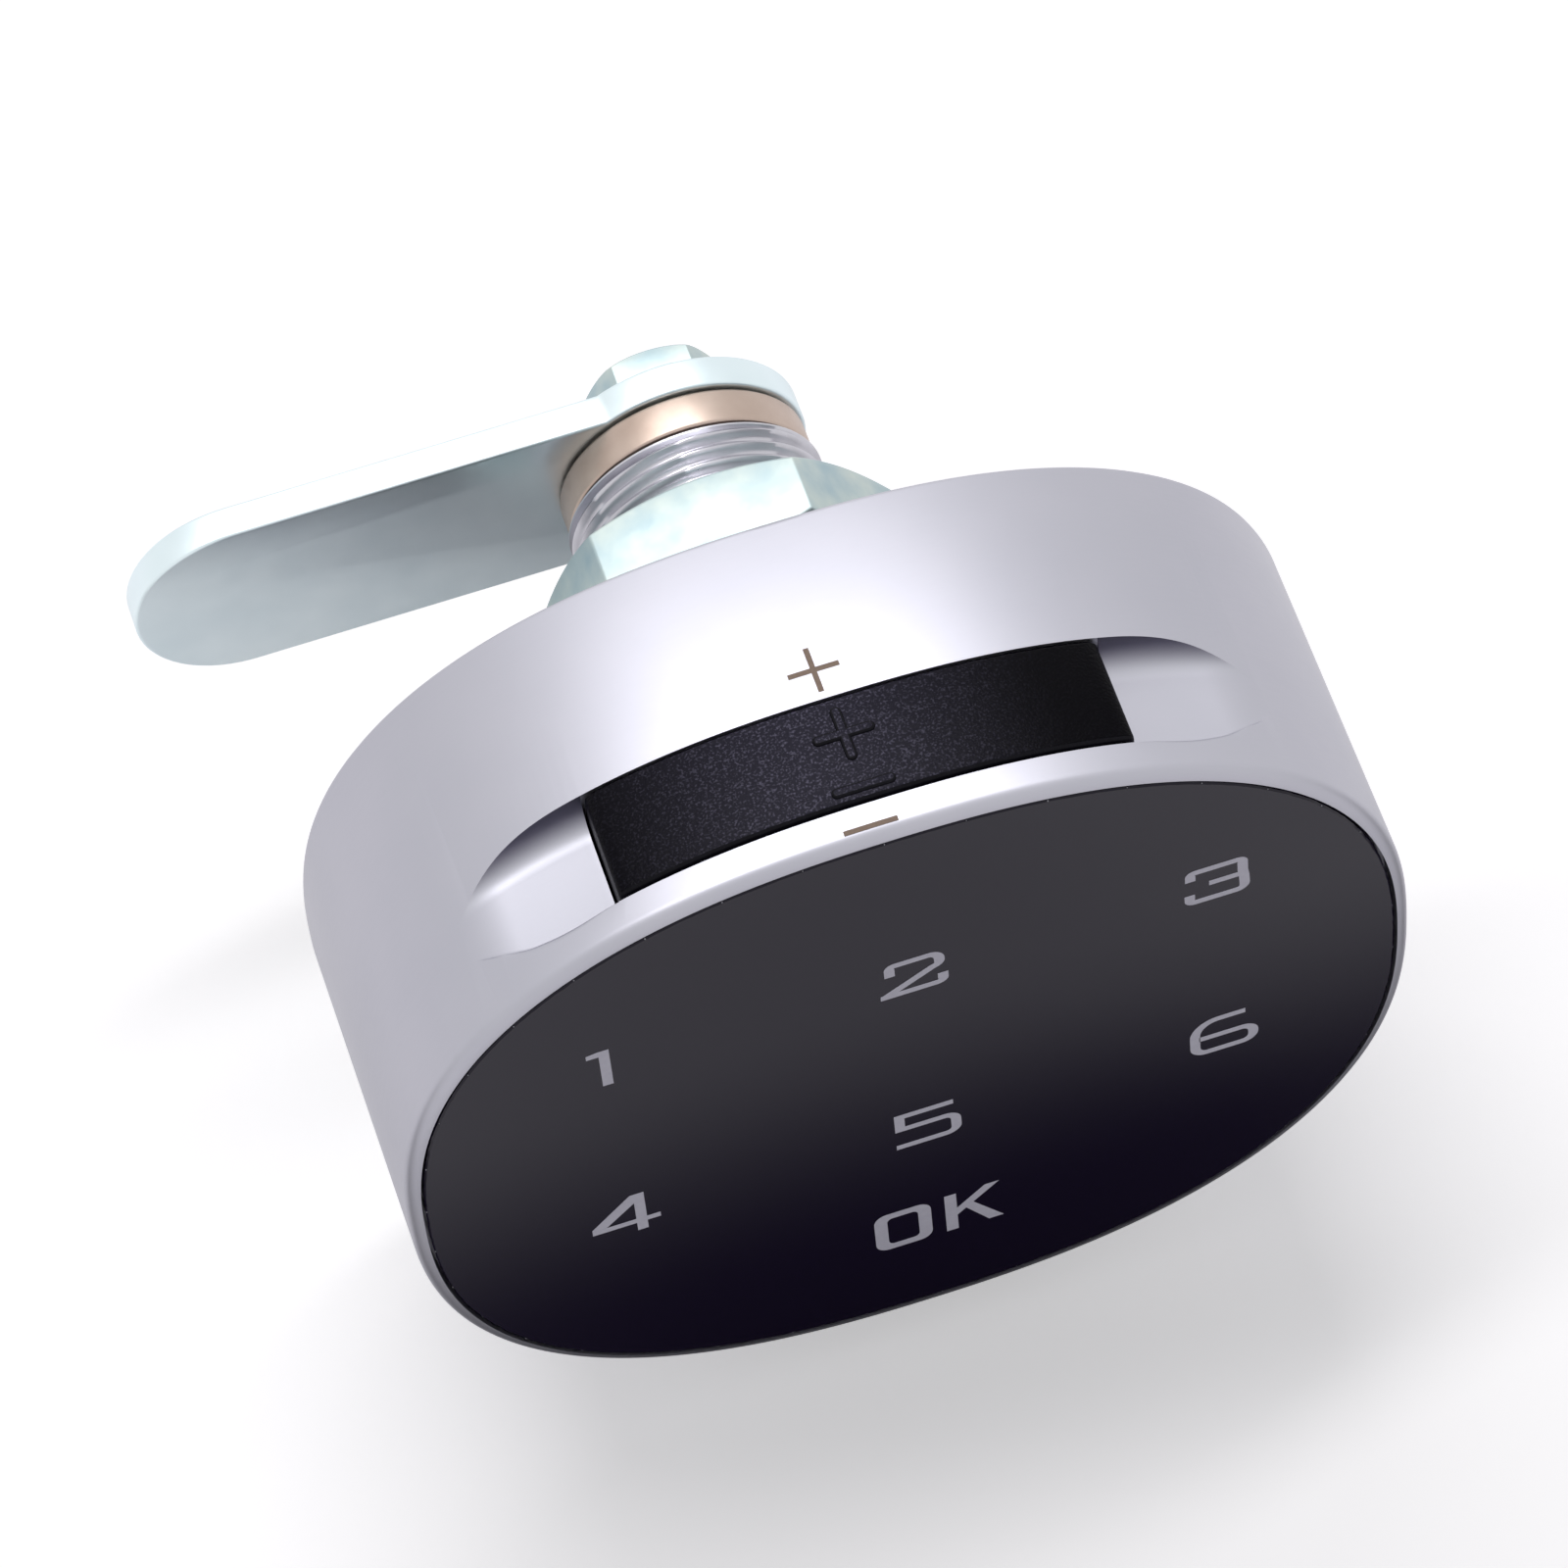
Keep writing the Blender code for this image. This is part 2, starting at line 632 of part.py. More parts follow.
drawer = solid_from_outline("battery_drawer", [cap_outline()], Y_DRAWER, Y_DRAWER_BACK)
bevel_edges(
    drawer, SIDE_FIT, 2, lambda a, b: 1.0 if max(a.z, b.z) > cap_bottom + FIT else 0.0
)
for edge in drawer.data.edges:
    # The arc's own facets stay as they are
    ends = [drawer.matrix_world @ drawer.data.vertices[i].co for i in edge.vertices]
    if abs(ends[0].y - ends[1].y) > MM and abs(ends[0].x) < half_drawer - FIT / 2:
        drawer.data.attributes["bevel_weight_edge"].data[edge.index].value = 0.0
tray_inset = THIN_FIT
join(
    drawer,
    box(
        "tray_blank",
        (-half_drawer + tray_inset, half_drawer - tray_inset),
        (Y_DRAWER + tray_inset, Y_TRAY_BACK),
        (TRAY_BOTTOM, cap_bottom + FIT),
    ),
)
cut(
    drawer,
    rod(
        "cell_pocket",
        CELL_RADIUS + THIN_FIT,
        (0, Y_DRAWER - WALL, CELL_HEIGHT),
        (0, Y_POCKET, CELL_HEIGHT),
        56,
    ),
    rod(
        "contact_window",
        CELL_RADIUS * 0.6,
        (0, Y_POCKET - FIT, CELL_HEIGHT),
        (0, Y_DRAWER_BACK + WALL, CELL_HEIGHT),
        36,
    ),
)
for name, outline in (
    ("plus_across", rounded_bar(MARK_LENGTH, MARK_STROKE, (0.0, Y_FRONT + MARK_PLUS))),
    ("plus_along", rounded_bar(MARK_STROKE, MARK_LENGTH, (0.0, Y_FRONT + MARK_PLUS))),
    ("minus", rounded_bar(MARK_LENGTH, MARK_STROKE, (0.0, Y_FRONT + MARK_MINUS))),
):
    top = TOP + MARK_HEIGHT
    join(
        drawer,
        solid_from_outline(name, [outline], top - WALL / 2, top, Matrix.Identity(4), CUTTERS),
    )
dress(drawer, drawer_axis, finish("black_moulded_plastic", (0.012, 0.011, 0.018), 0.0, 0.45))

coin_cell = turned(
    "coin_cell",
    [
        (0, CELL_THICKNESS),
        (CELL_RADIUS - 0.6 * FIT, CELL_THICKNESS),
        (CELL_RADIUS, CELL_THICKNESS - 0.6 * FIT),
        (CELL_RADIUS, 2 * FIT),
        (CELL_RADIUS - 2 * FIT, FIT),
        (CELL_RADIUS - 4 * FIT, FIT),
        (CELL_RADIUS - 5 * FIT, 0),
        (0, 0),
    ],
    56,
    matrix=Matrix.Translation((0, Y_CELL, CELL_HEIGHT)) @ ALONG_BARREL,
)
dress(coin_cell, drawer_axis, finish("nickel_plate", (0.72, 0.70, 0.66), 1.0, 0.25))

# Drawer guide: insulating tray against the web, with a rail each side of the drawer
guide = solid_from_outline(
    "drawer_guide", [oval(WALL + FIT, top=WINDOW_TOP - FIT)], Y_GUIDE_FLOOR, Y_WEB - SLIDE_FIT
)
rail_in = half_drawer + SIDE_FIT
rail_front = Y_DRAWER
rail_top = WINDOW_TOP - 2 * FIT
rail_out = rail_in + GUIDE_WALL
join(
    guide,
    solid_from_outline(
        "rails_and_stop",
        [
            [
                (rail_out, GUIDE_STOP - GUIDE_WALL),
                (rail_out, rail_top),
                (rail_in, rail_top),
                (rail_in, GUIDE_STOP),
                (-rail_in, GUIDE_STOP),
                (-rail_in, rail_top),
                (-rail_out, rail_top),
                (-rail_out, GUIDE_STOP - GUIDE_WALL),
            ]
        ],
        rail_front,
        Y_GUIDE_FLOOR + GUIDE_FLOOR / 2,
        collection=CUTTERS,
    ),
)
cut(
    guide,
    rod(
        "guide_wire_hole",
        1.5 * SCREW_RADIUS,
        (wire_hole[0], Y_GUIDE_FLOOR - FIT, wire_hole[1]),
        (wire_hole[0], Y_WEB, wire_hole[1]),
        16,
    ),
)
for i, (x, z) in enumerate(drive_screws):
    cut(
        guide,
        rod(f"guide_relief_{i + 1}", 1.6 * SCREW_RADIUS, (x, Y_GUIDE_FLOOR - FIT, z), (x, Y_WEB, z), 16),
    )
dress(guide, knob_axis, finish("grey_moulded_plastic", (0.10, 0.10, 0.11), 0.0, 0.5))

contact_plus = solid_from_outline(
    "contact_plus",
    [
        ring(CELL_RADIUS / 3, 40, (0.0, CELL_HEIGHT)),
        bar_outline(CELL_RADIUS / 2, CELL_RADIUS / 8, (0.0, CELL_HEIGHT)),
    ],
    Y_CONTACT,
    Y_CONTACT + CONTACT_THICKNESS,
)
dress(contact_plus, knob_axis, finish("gold_spring", (0.80, 0.58, 0.25), 1.0, 0.3))

# Main board below the drawer, with its parts
main_board = solid_from_outline(
    "main_board",
    [oval(WALL + 2 * FIT, top=MAIN_BOARD_TOP)],
    Y_MAIN_BOARD,
    Y_MAIN_BOARD + MAIN_BOARD_THICKNESS,
)
cut(
    main_board,
    rod(
        "board_wire_hole",
        1.5 * SCREW_RADIUS,
        (wire_hole[0], Y_MAIN_BOARD - FIT, wire_hole[1]),
        (wire_hole[0], Y_WEB, wire_hole[1]),
        16,
    ),
)
dress(main_board, knob_axis, finish("green_main_board", (0.02, 0.10, 0.05), 0.0, 0.5))

parts_back = Y_MAIN_BOARD - SLIDE_FIT
parts_z = (MAIN_BOARD_TOP - TOP + WALL) / 2
chip = box(
    "controller_chip",
    (-CHIP_SIDE / 2, CHIP_SIDE / 2),
    (parts_back - CHIP_HEIGHT, parts_back),
    (parts_z - CHIP_SIDE / 2, parts_z + CHIP_SIDE / 2),
    LOCK,
)
bevel_edges(chip, CHIP_HEIGHT / 8, 1)
dress(chip, knob_axis, finish("chip_black", (0.02, 0.02, 0.02), 0.0, 0.6))

buzzer_x = -(CHIP_SIDE / 2 + BUZZER_RADIUS + 2.0 * MM)
buzzer = turned(
    "buzzer",
    [
        (0, parts_back),
        (BUZZER_RADIUS, parts_back),
        (BUZZER_RADIUS, parts_back - BUZZER_HEIGHT + FIT),
        (BUZZER_RADIUS - FIT, parts_back - BUZZER_HEIGHT),
        (BUZZER_RADIUS / 4, parts_back - BUZZER_HEIGHT),
        (BUZZER_RADIUS / 4, parts_back - BUZZER_HEIGHT / 2),
        (0, parts_back - BUZZER_HEIGHT / 2),
    ],
    36,
    matrix=Matrix.Translation((buzzer_x, 0, parts_z)) @ ALONG_BARREL,
)
dress(buzzer, knob_axis, finish("buzzer_black", (0.03, 0.03, 0.03), 0.0, 0.5))

connector_x = CHIP_SIDE / 2 + 1.5 * MM
connector = box(
    "board_connector",
    (connector_x, connector_x + CONNECTOR_LENGTH),
    (Y_BOARD + BOARD_THICKNESS + SLIDE_FIT, parts_back),
    (parts_z - CONNECTOR_DEPTH / 2, parts_z + CONNECTOR_DEPTH / 2),
    LOCK,
)
bevel_edges(connector, FIT, 1)
dress(connector, knob_axis, finish("connector_plastic", (0.55, 0.52, 0.45), 0.0, 0.6))

# Spindle: drive flange on the web, round shaft through the barrel, square end for collar and cam
spindle = turned(
    "spindle",
    [
        (0, Y_SPINDLE_END),
        (SPINDLE_RADIUS - FIT, Y_SPINDLE_END),
        (SPINDLE_RADIUS, Y_SPINDLE_END - FIT),
        (SPINDLE_RADIUS, Y_DRIVE_BACK),
        (DRIVE_RADIUS, Y_DRIVE_BACK),
        (DRIVE_RADIUS, Y_DRIVE),
        (0, Y_DRIVE),
    ],
)
cut(
    spindle,
    solid_from_outline(
        "square_end",
        [ring(SPINDLE_RADIUS + WALL), squared_round(SQUARE, SPINDLE_RADIUS + FIT)],
        BARREL_LENGTH + FIT / 2,
        Y_SPINDLE_END + WALL,
        collection=CUTTERS,
    ),
    rod(
        "spindle_thread_hole",
        BOLT_RADIUS + FIT,
        (0, Y_SPINDLE_END - BOLT_LENGTH, 0),
        (0, Y_SPINDLE_END + WALL, 0),
    ),
)
countersink = [
    (0, Y_DRIVE_BACK + WALL),
    (SCREW_HEAD_RADIUS + FIT, Y_DRIVE_BACK + WALL),
    (SCREW_HEAD_RADIUS + FIT, Y_DRIVE_BACK - FIT),
    (SCREW_RADIUS + FIT, Y_DRIVE_BACK - SCREW_HEAD_HEIGHT - FIT),
    (SCREW_RADIUS + FIT, Y_DRIVE - WALL),
    (0, Y_DRIVE - WALL),
]
screw_profile = [
    (0, Y_DRIVE_BACK - FIT / 2),
    (SCREW_HEAD_RADIUS, Y_DRIVE_BACK - FIT / 2),
    (SCREW_RADIUS, Y_DRIVE_BACK - SCREW_HEAD_HEIGHT - FIT / 2),
    (SCREW_RADIUS, Y_WEB + FIT / 2),
    (0, Y_WEB + FIT / 2),
]
steel = finish("zinc_plated_screw", (0.60, 0.62, 0.64), 1.0, 0.35)
for i, (x, z) in enumerate(drive_screws):
    place = Matrix.Translation((x, 0, z)) @ ALONG_BARREL
    cut(spindle, turned(f"countersink_{i + 1}", countersink, 20, collection=CUTTERS, matrix=place))
    drive_screw = turned(f"spindle_screw_{i + 1}", screw_profile, 20, matrix=place)
    cross_recess(drive_screw, (x, z), Y_DRIVE_BACK - 0.7 * SCREW_HEAD_HEIGHT)
    dress(drive_screw, knob_axis, steel)
dress(spindle, knob_axis, finish("steel_spindle", (0.52, 0.52, 0.54), 1.0, 0.35))

# Back cover, which turns on the barrel's front journal, and its four screws
cover = solid_from_outline(
    "back_cover", [oval(WALL + FIT)], Y_COVER, Y_COVER_BACK
)
bevel_edges(cover, FIT, 1)
cut(
    cover,
    rod("cover_bore", BARREL_RADIUS + FIT, (0, Y_COVER - WALL, 0), (0, Y_COVER_BACK + WALL, 0), 64),
)
head_floor = Y_COVER_BACK - SCREW_HEAD_HEIGHT - FIT / 2
for i, (x, z) in enumerate(mirrored_pairs(COVER_SCREW_X, COVER_SCREW_Z)):
    cut(
        cover,
        rod(f"cover_hole_{i + 1}", SCREW_RADIUS + FIT, (x, Y_COVER - WALL, z), (x, Y_COVER_BACK, z), 16),
        rod(f"counterbore_{i + 1}", SCREW_HEAD_RADIUS + FIT, (x, head_floor, z), (x, 0, z), 20),
    )
    screw = turned(
        f"cover_screw_{i + 1}",
        [
            (0, Y_COVER_BACK),
            (SCREW_HEAD_RADIUS - FIT, Y_COVER_BACK),
            (SCREW_HEAD_RADIUS, Y_COVER_BACK - FIT),
            (SCREW_HEAD_RADIUS, head_floor + FIT / 2),
            (SCREW_RADIUS, head_floor + FIT / 2),
            (SCREW_RADIUS, Y_WEB_BACK + RIB + FIT),
            (0, Y_WEB_BACK + RIB + FIT),
        ],
        20,
        matrix=Matrix.Translation((x, 0, z)) @ ALONG_BARREL,
    )
    cross_recess(screw, (x, z), Y_COVER_BACK - 0.6 * SCREW_HEAD_HEIGHT)
    dress(screw, knob_axis, steel)
dress(cover, knob_axis, finish("zinc_cover", (0.50, 0.50, 0.52), 1.0, 0.45))

# Barrel: journal, seat against the door, round body with one flat, and a notched end for the stop
bore = SPINDLE_RADIUS + FIT
chamfer = 2 * FIT
barrel = turned(
    "barrel",
    [
        (bore, BARREL_LENGTH),
        (BARREL_RADIUS - chamfer, BARREL_LENGTH),
        (BARREL_RADIUS, BARREL_LENGTH - chamfer),
        (BARREL_RADIUS, Y_SEAT_BACK),
        (SEAT_RADIUS - FIT, Y_SEAT_BACK),
        (SEAT_RADIUS, Y_SEAT_BACK - FIT),
        (SEAT_RADIUS, Y_SEAT + FIT),
        (SEAT_RADIUS - FIT, Y_SEAT),
        (BARREL_RADIUS, Y_SEAT),
        (BARREL_RADIUS, Y_BARREL_FRONT),
        (bore, Y_BARREL_FRONT),
    ],
    60,
    closed=True,
)
stop_clear = FIT / ((bore + BARREL_RADIUS) / 2)
stop_start = -math.pi / 2 - TURN_ANGLE / 2 - STOP_HALF_ANGLE - stop_clear
stop_end = -math.pi / 2 + TURN_ANGLE / 2 + STOP_HALF_ANGLE + stop_clear
cut(
    barrel,
    box(
        "barrel_flat_cut",
        (-2 * BARREL_RADIUS, 2 * BARREL_RADIUS),
        (0, BARREL_LENGTH + WALL),
        (-2 * BARREL_RADIUS, -BARREL_FLAT),
    ),
    solid_from_outline(
        "stop_notch",
        [sector(bore - FIT, BARREL_RADIUS + FIT, stop_start, stop_end)],
        BARREL_LENGTH - STOP_DEPTH,
        BARREL_LENGTH + WALL,
        collection=CUTTERS,
    ),
)
dress(barrel, base_axis, finish("zinc_barrel", (0.45, 0.45, 0.48), 1.0, 0.35))

gasket = turned(
    "door_gasket",
    [
        (BARREL_RADIUS + FIT, 0),
        (SEAT_RADIUS - 2 * FIT, 0),
        (SEAT_RADIUS - 2 * FIT, -GASKET_THICKNESS),
        (BARREL_RADIUS + FIT, -GASKET_THICKNESS),
    ],
    52,
    closed=True,
)
dress(gasket, base_axis, finish("black_rubber", (0.02, 0.02, 0.02), 0.0, 0.8))

# Blocking ring on the journal: the plunger drops into one notch when closed, the other when open
lock_ring = turned(
    "lock_ring",
    [
        (BARREL_RADIUS + FIT, Y_RING_BACK),
        (LOCK_RING_RADIUS, Y_RING_BACK),
        (LOCK_RING_RADIUS, Y_RING),
        (BARREL_RADIUS + FIT, Y_RING),
    ],
    52,
    closed=True,
)
for name, angle in (("closed", 0.0), ("open", TURN_ANGLE)):
    notch = box(
        f"{name}_notch",
        (X_TONGUE - FIT - PLUNGER_TRAVEL - FIT, LOCK_RING_RADIUS + WALL),
        (Y_RING - WALL, Y_RING_BACK + WALL),
        (-PLUNGER_WIDTH / 2 - FIT, PLUNGER_WIDTH / 2 + FIT),
    )
    notch.matrix_world = Matrix.Rotation(angle, 4, "Y") @ notch.matrix_world
    cut(lock_ring, notch)
dress(lock_ring, base_axis, finish("steel_ring", (0.50, 0.50, 0.52), 1.0, 0.35))

# Solenoid and its plunger
solenoid = turned(
    "solenoid",
    [
        (0, SOLENOID_LENGTH),
        (SOLENOID_RADIUS - FIT, SOLENOID_LENGTH),
        (SOLENOID_RADIUS, SOLENOID_LENGTH - FIT),
        (SOLENOID_RADIUS, 0),
        (PLUNGER_ROD + FIT, 0),
        (PLUNGER_ROD + FIT, PLUNGER_ROD_LENGTH),
        (0, PLUNGER_ROD_LENGTH),
    ],
    36,
    matrix=Matrix.Translation((X_SOLENOID, Y_SOLENOID, 0)) @ Matrix.Rotation(math.radians(90), 4, "Y"),
)
dress(solenoid, knob_axis, finish("nickel_can", (0.62, 0.60, 0.56), 1.0, 0.3))

tongue_y = (Y_RING + FIT / 2, Y_RING_BACK - FIT)
plunger = box(
    "solenoid_plunger",
    (X_TONGUE, X_BLOCK + PLUNGER_BLOCK / 2),
    tongue_y,
    (-PLUNGER_WIDTH / 2, PLUNGER_WIDTH / 2),
    LOCK,
)
rod_start = X_BLOCK + PLUNGER_BLOCK / 2
join(
    plunger,
    box(
        "plunger_block",
        (X_BLOCK, X_BLOCK + PLUNGER_BLOCK),
        (Y_SOLENOID - 1.5 * PLUNGER_ROD, tongue_y[1]),
        (-PLUNGER_WIDTH / 2, PLUNGER_WIDTH / 2),
    ),
    rod(
        "plunger_rod",
        PLUNGER_ROD,
        (rod_start, Y_SOLENOID, 0),
        (X_SOLENOID + PLUNGER_ROD_LENGTH - 2 * FIT, Y_SOLENOID, 0),
        16,
    ),
)
dress(plunger, plunger_axis, finish("steel_plunger", (0.55, 0.55, 0.57), 1.0, 0.3))

# Washer and hex nut, which clamp the barrel in the door
nut_front = NUT_BACK - NUT_THICKNESS
washer = turned(
    "washer",
    [
        (BARREL_RADIUS + FIT, nut_front - FIT),
        (WASHER_RADIUS, nut_front - FIT),
        (WASHER_RADIUS, nut_front - FIT - WASHER_THICKNESS),
        (BARREL_RADIUS + FIT, nut_front - FIT - WASHER_THICKNESS),
    ],
    52,
    closed=True,
)
dress(washer, base_axis, finish("zinc_washer", (0.62, 0.68, 0.70), 1.0, 0.35))

corner = NUT_FLATS / math.sqrt(3)
nut_turns = [NUT_TURN + math.radians(60 * i) for i in range(6)]
nut = solid_from_outline(
    "hex_nut",
    [[(corner * math.cos(a), corner * math.sin(a)) for a in nut_turns]],
    nut_front,
    NUT_BACK,
)
slope = math.tan(math.radians(30))
face = NUT_FLATS / 2 * 0.97
drop = (corner + FIT - face) * slope
boolean(
    nut,
    turned(
        "nut_chamfer",
        [
            (0, NUT_BACK + FIT),
            (face, NUT_BACK + FIT),
            (face, NUT_BACK),
            (corner + FIT, NUT_BACK - drop),
            (corner + FIT, nut_front + drop),
            (face, nut_front),
            (face, nut_front - FIT),
            (0, nut_front - FIT),
        ],
        72,
        collection=CUTTERS,
    ),
    "INTERSECT",
)
cut(
    nut,
    rod("nut_bore", BARREL_RADIUS + FIT, (0, nut_front - WALL, 0), (0, NUT_BACK + WALL, 0), 64),
)
dress(nut, base_axis, finish("zinc_nut", (0.62, 0.68, 0.70), 1.0, 0.3))

# Stop collar: keyed to the spindle's square, with a lug that runs in the barrel's notch
collar = solid_from_outline(
    "stop_collar",
    [ring(COLLAR_RADIUS, 64), squared_round(SQUARE + 2 * FIT, SPINDLE_RADIUS + FIT)],
    Y_COLLAR,
    Y_COLLAR_BACK,
)
lug_angle = -math.pi / 2 + TURN_ANGLE / 2
join(
    collar,
    solid_from_outline(
        "stop_lug",
        [
            sector(
                bore + FIT / 2,
                COLLAR_RADIUS - FIT / 2,
                lug_angle - STOP_HALF_ANGLE,
                lug_angle + STOP_HALF_ANGLE,
                6,
            )
        ],
        BARREL_LENGTH - STOP_DEPTH + FIT,
        Y_COLLAR + COLLAR_THICKNESS / 2,
        collection=CUTTERS,
    ),
)
dress(collar, knob_axis, finish("bronze_collar", (0.55, 0.42, 0.36), 1.0, 0.35))


def cam_outline():
    """A round hub, straight parallel sides and a full-round tip."""
    half = CAM_WIDTH / 2
    meet = math.asin(half / CAM_HUB_RADIUS)
    swing = 2 * (math.pi - meet)
    points = []
    for i in range(41):
        a = -(math.pi - meet) + swing * i / 40
        points.append((CAM_HUB_RADIUS * math.cos(a), CAM_HUB_RADIUS * math.sin(a)))
    tip = CAM_REACH - half
    for i in range(33):
        a = math.pi / 2 + math.pi * i / 32
        points.append((-tip + half * math.cos(a), half * math.sin(a)))
    return points


cam = solid_from_outline(
    "cam", [cam_outline(), squared_round(SQUARE + 2 * FIT, SPINDLE_RADIUS + FIT)], Y_CAM, Y_CAM_BACK
)
bevel_edges(cam, FIT / 2, 1)
dress(cam, knob_axis, finish("zinc_cam", (0.60, 0.66, 0.70), 1.0, 0.32))

spring_washer = turned(
    "spring_washer",
    [
        (BOLT_RADIUS + FIT, Y_SPRING_WASHER + SPRING_WASHER_THICKNESS),
        (SPRING_WASHER_RADIUS, Y_SPRING_WASHER + SPRING_WASHER_THICKNESS),
        (SPRING_WASHER_RADIUS, Y_SPRING_WASHER),
        (BOLT_RADIUS + FIT, Y_SPRING_WASHER),
    ],
    40,
    closed=True,
)
split = box(
    "washer_split",
    (0, 2 * SPRING_WASHER_RADIUS),
    (-2 * SPRING_WASHER_THICKNESS, 2 * SPRING_WASHER_THICKNESS),
    (-FIT, FIT),
)
split.matrix_world = (
    Matrix.Translation((0, Y_SPRING_WASHER + SPRING_WASHER_THICKNESS / 2, 0))
    @ Matrix.Rotation(math.radians(20), 4, "X")
    @ split.matrix_world
)
cut(spring_washer, split)
dress(spring_washer, knob_axis, finish("zinc_spring_washer", (0.60, 0.66, 0.70), 1.0, 0.35))

# Cam bolt: hex head with a domed top
head_corner = BOLT_HEAD_FLATS / math.sqrt(3)
bolt = solid_from_outline(
    "cam_bolt",
    [
        [
            (head_corner * math.cos(math.radians(60 * i)), head_corner * math.sin(math.radians(60 * i)))
            for i in range(6)
        ]
    ],
    Y_BOLT_HEAD,
    Y_BOLT_HEAD + BOLT_HEAD_HEIGHT,
)
head_top = Y_BOLT_HEAD + BOLT_HEAD_HEIGHT
dome = [(0, head_top)]
for i in range(1, 9):
    a = math.radians(90 * i / 8)
    dome.append(
        (
            (head_corner + FIT) * math.sin(a),
            head_top - BOLT_HEAD_HEIGHT * 0.6 * (1 - math.cos(a)),
        )
    )
dome += [(head_corner + FIT, Y_BOLT_HEAD - FIT), (0, Y_BOLT_HEAD - FIT)]
boolean(bolt, turned("bolt_dome", dome, 48, collection=CUTTERS), "INTERSECT")
join(
    bolt,
    rod(
        "bolt_shank",
        BOLT_RADIUS,
        (0, Y_SPINDLE_END - BOLT_LENGTH + FIT, 0),
        (0, Y_BOLT_HEAD + FIT, 0),
    ),
)
dress(bolt, knob_axis, finish("zinc_bolt", (0.62, 0.68, 0.70), 1.0, 0.3))

for piece in LOCK.objects:
    if piece.type == "MESH":
        for polygon in piece.data.polygons:
            polygon.use_smooth = True
        piece.data.set_sharp_from_angle(angle=math.radians(30))
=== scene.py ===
"""Looks of the keypad cam lock: satin casting, black glass, moulded battery drawer, zinc-plated hardware.

The pieces lie in the CAD frame, whose origin is on the barrel's axis at the door's outer face: +X is right
of the panel, +Y goes into the locker and +Z is up, and the panel faces -Y. Shapes are drawn in millimetres
and scaled to metres when their mesh is made.
"""

import math

import bmesh
import bpy
from mathutils import Matrix, Vector, noise


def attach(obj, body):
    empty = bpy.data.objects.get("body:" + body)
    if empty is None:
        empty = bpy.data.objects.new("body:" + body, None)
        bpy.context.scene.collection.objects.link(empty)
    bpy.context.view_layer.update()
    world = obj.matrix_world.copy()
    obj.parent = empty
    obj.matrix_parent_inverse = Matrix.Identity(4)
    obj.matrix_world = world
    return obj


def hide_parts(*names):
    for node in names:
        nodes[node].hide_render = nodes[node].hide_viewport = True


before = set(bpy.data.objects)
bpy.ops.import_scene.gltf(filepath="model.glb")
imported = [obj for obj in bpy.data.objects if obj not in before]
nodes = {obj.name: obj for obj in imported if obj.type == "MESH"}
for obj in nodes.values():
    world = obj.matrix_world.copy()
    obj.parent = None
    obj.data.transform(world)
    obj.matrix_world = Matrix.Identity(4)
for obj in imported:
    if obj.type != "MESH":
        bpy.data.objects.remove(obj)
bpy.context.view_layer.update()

MM = 0.001

# Sizes of the head in millimetres, from the CAD, but WEB lies 0.3 mm further back and the scoops' coves are
# rounder, as in the photo
HEAD_ACROSS, HEAD_UP, HEAD_POWER = 30.0, 27.0, 2.39
PANEL, HEAD_BACK = -22.4, -0.8
RIM = 0.8
BACK_EDGE = 0.35
WALL = 2.6
LEDGE = -20.8
SLOT, WEB, WEB_BACK = -20.15, -12.95, -11.75
SCOOP_MOUTH, SCOOP_LEVEL, SCOOP_TILT = 15.0, 22.55, 17.0
SCOOP_FILLET, SCOOP_BLEND, SCOOP_LIP = 1.9, 0.9, 0.6
SCOOP_END = 24.5
DRAWER_HALF = 14.85
WINDOW_TOP = 19.0
# Points round an oval, and how far they stay below a level cut; how far a tool runs past what it cuts;
# a height above the whole head
OVAL_POINTS, CUT_GAP = 256, 0.05
PAST, LAP, SMALL_LAP, HAIR = 2.0, 0.3, 0.03, 0.01
ABOVE_HEAD = 40.0


def hexed(colour):
    """An sRGB hex colour as a linear RGBA value."""
    parts = [int(colour[i : i + 2], 16) / 255 for i in (1, 3, 5)]
    return [p / 12.92 if p <= 0.04045 else ((p + 0.055) / 1.055) ** 2.4 for p in parts] + [1.0]


def put(tree, kind, inputs=None, **settings):
    """Adds a node, sets its settings, and sets or links its inputs."""
    node = tree.nodes.new(kind)
    for key, value in settings.items():
        setattr(node, key, value)
    for key, value in (inputs or {}).items():
        if isinstance(value, bpy.types.NodeSocket):
            tree.links.new(value, node.inputs[key])
        else:
            node.inputs[key].default_value = value
    return node


def surface(name, **settings):
    """A material with one Principled shader, and the shader, tree and object coordinates to build on."""
    material = bpy.data.materials.new(name)
    material.use_nodes = True
    tree = material.node_tree
    shader = tree.nodes["Principled BSDF"]
    for key, value in settings.items():
        shader.inputs[key.replace("_", " ")].default_value = value
    place = put(tree, "ShaderNodeTexCoord").outputs["Object"]
    return material, tree, shader, place


def wire(tree, shader, **outputs):
    """Links outputs to the shader's inputs of these names."""
    for key, output in outputs.items():
        tree.links.new(output, shader.inputs[key.replace("_", " ")])


def per_mm(size):
    """The scale of a noise or cell texture whose features are this many millimetres wide."""
    return 1 / (size * MM)


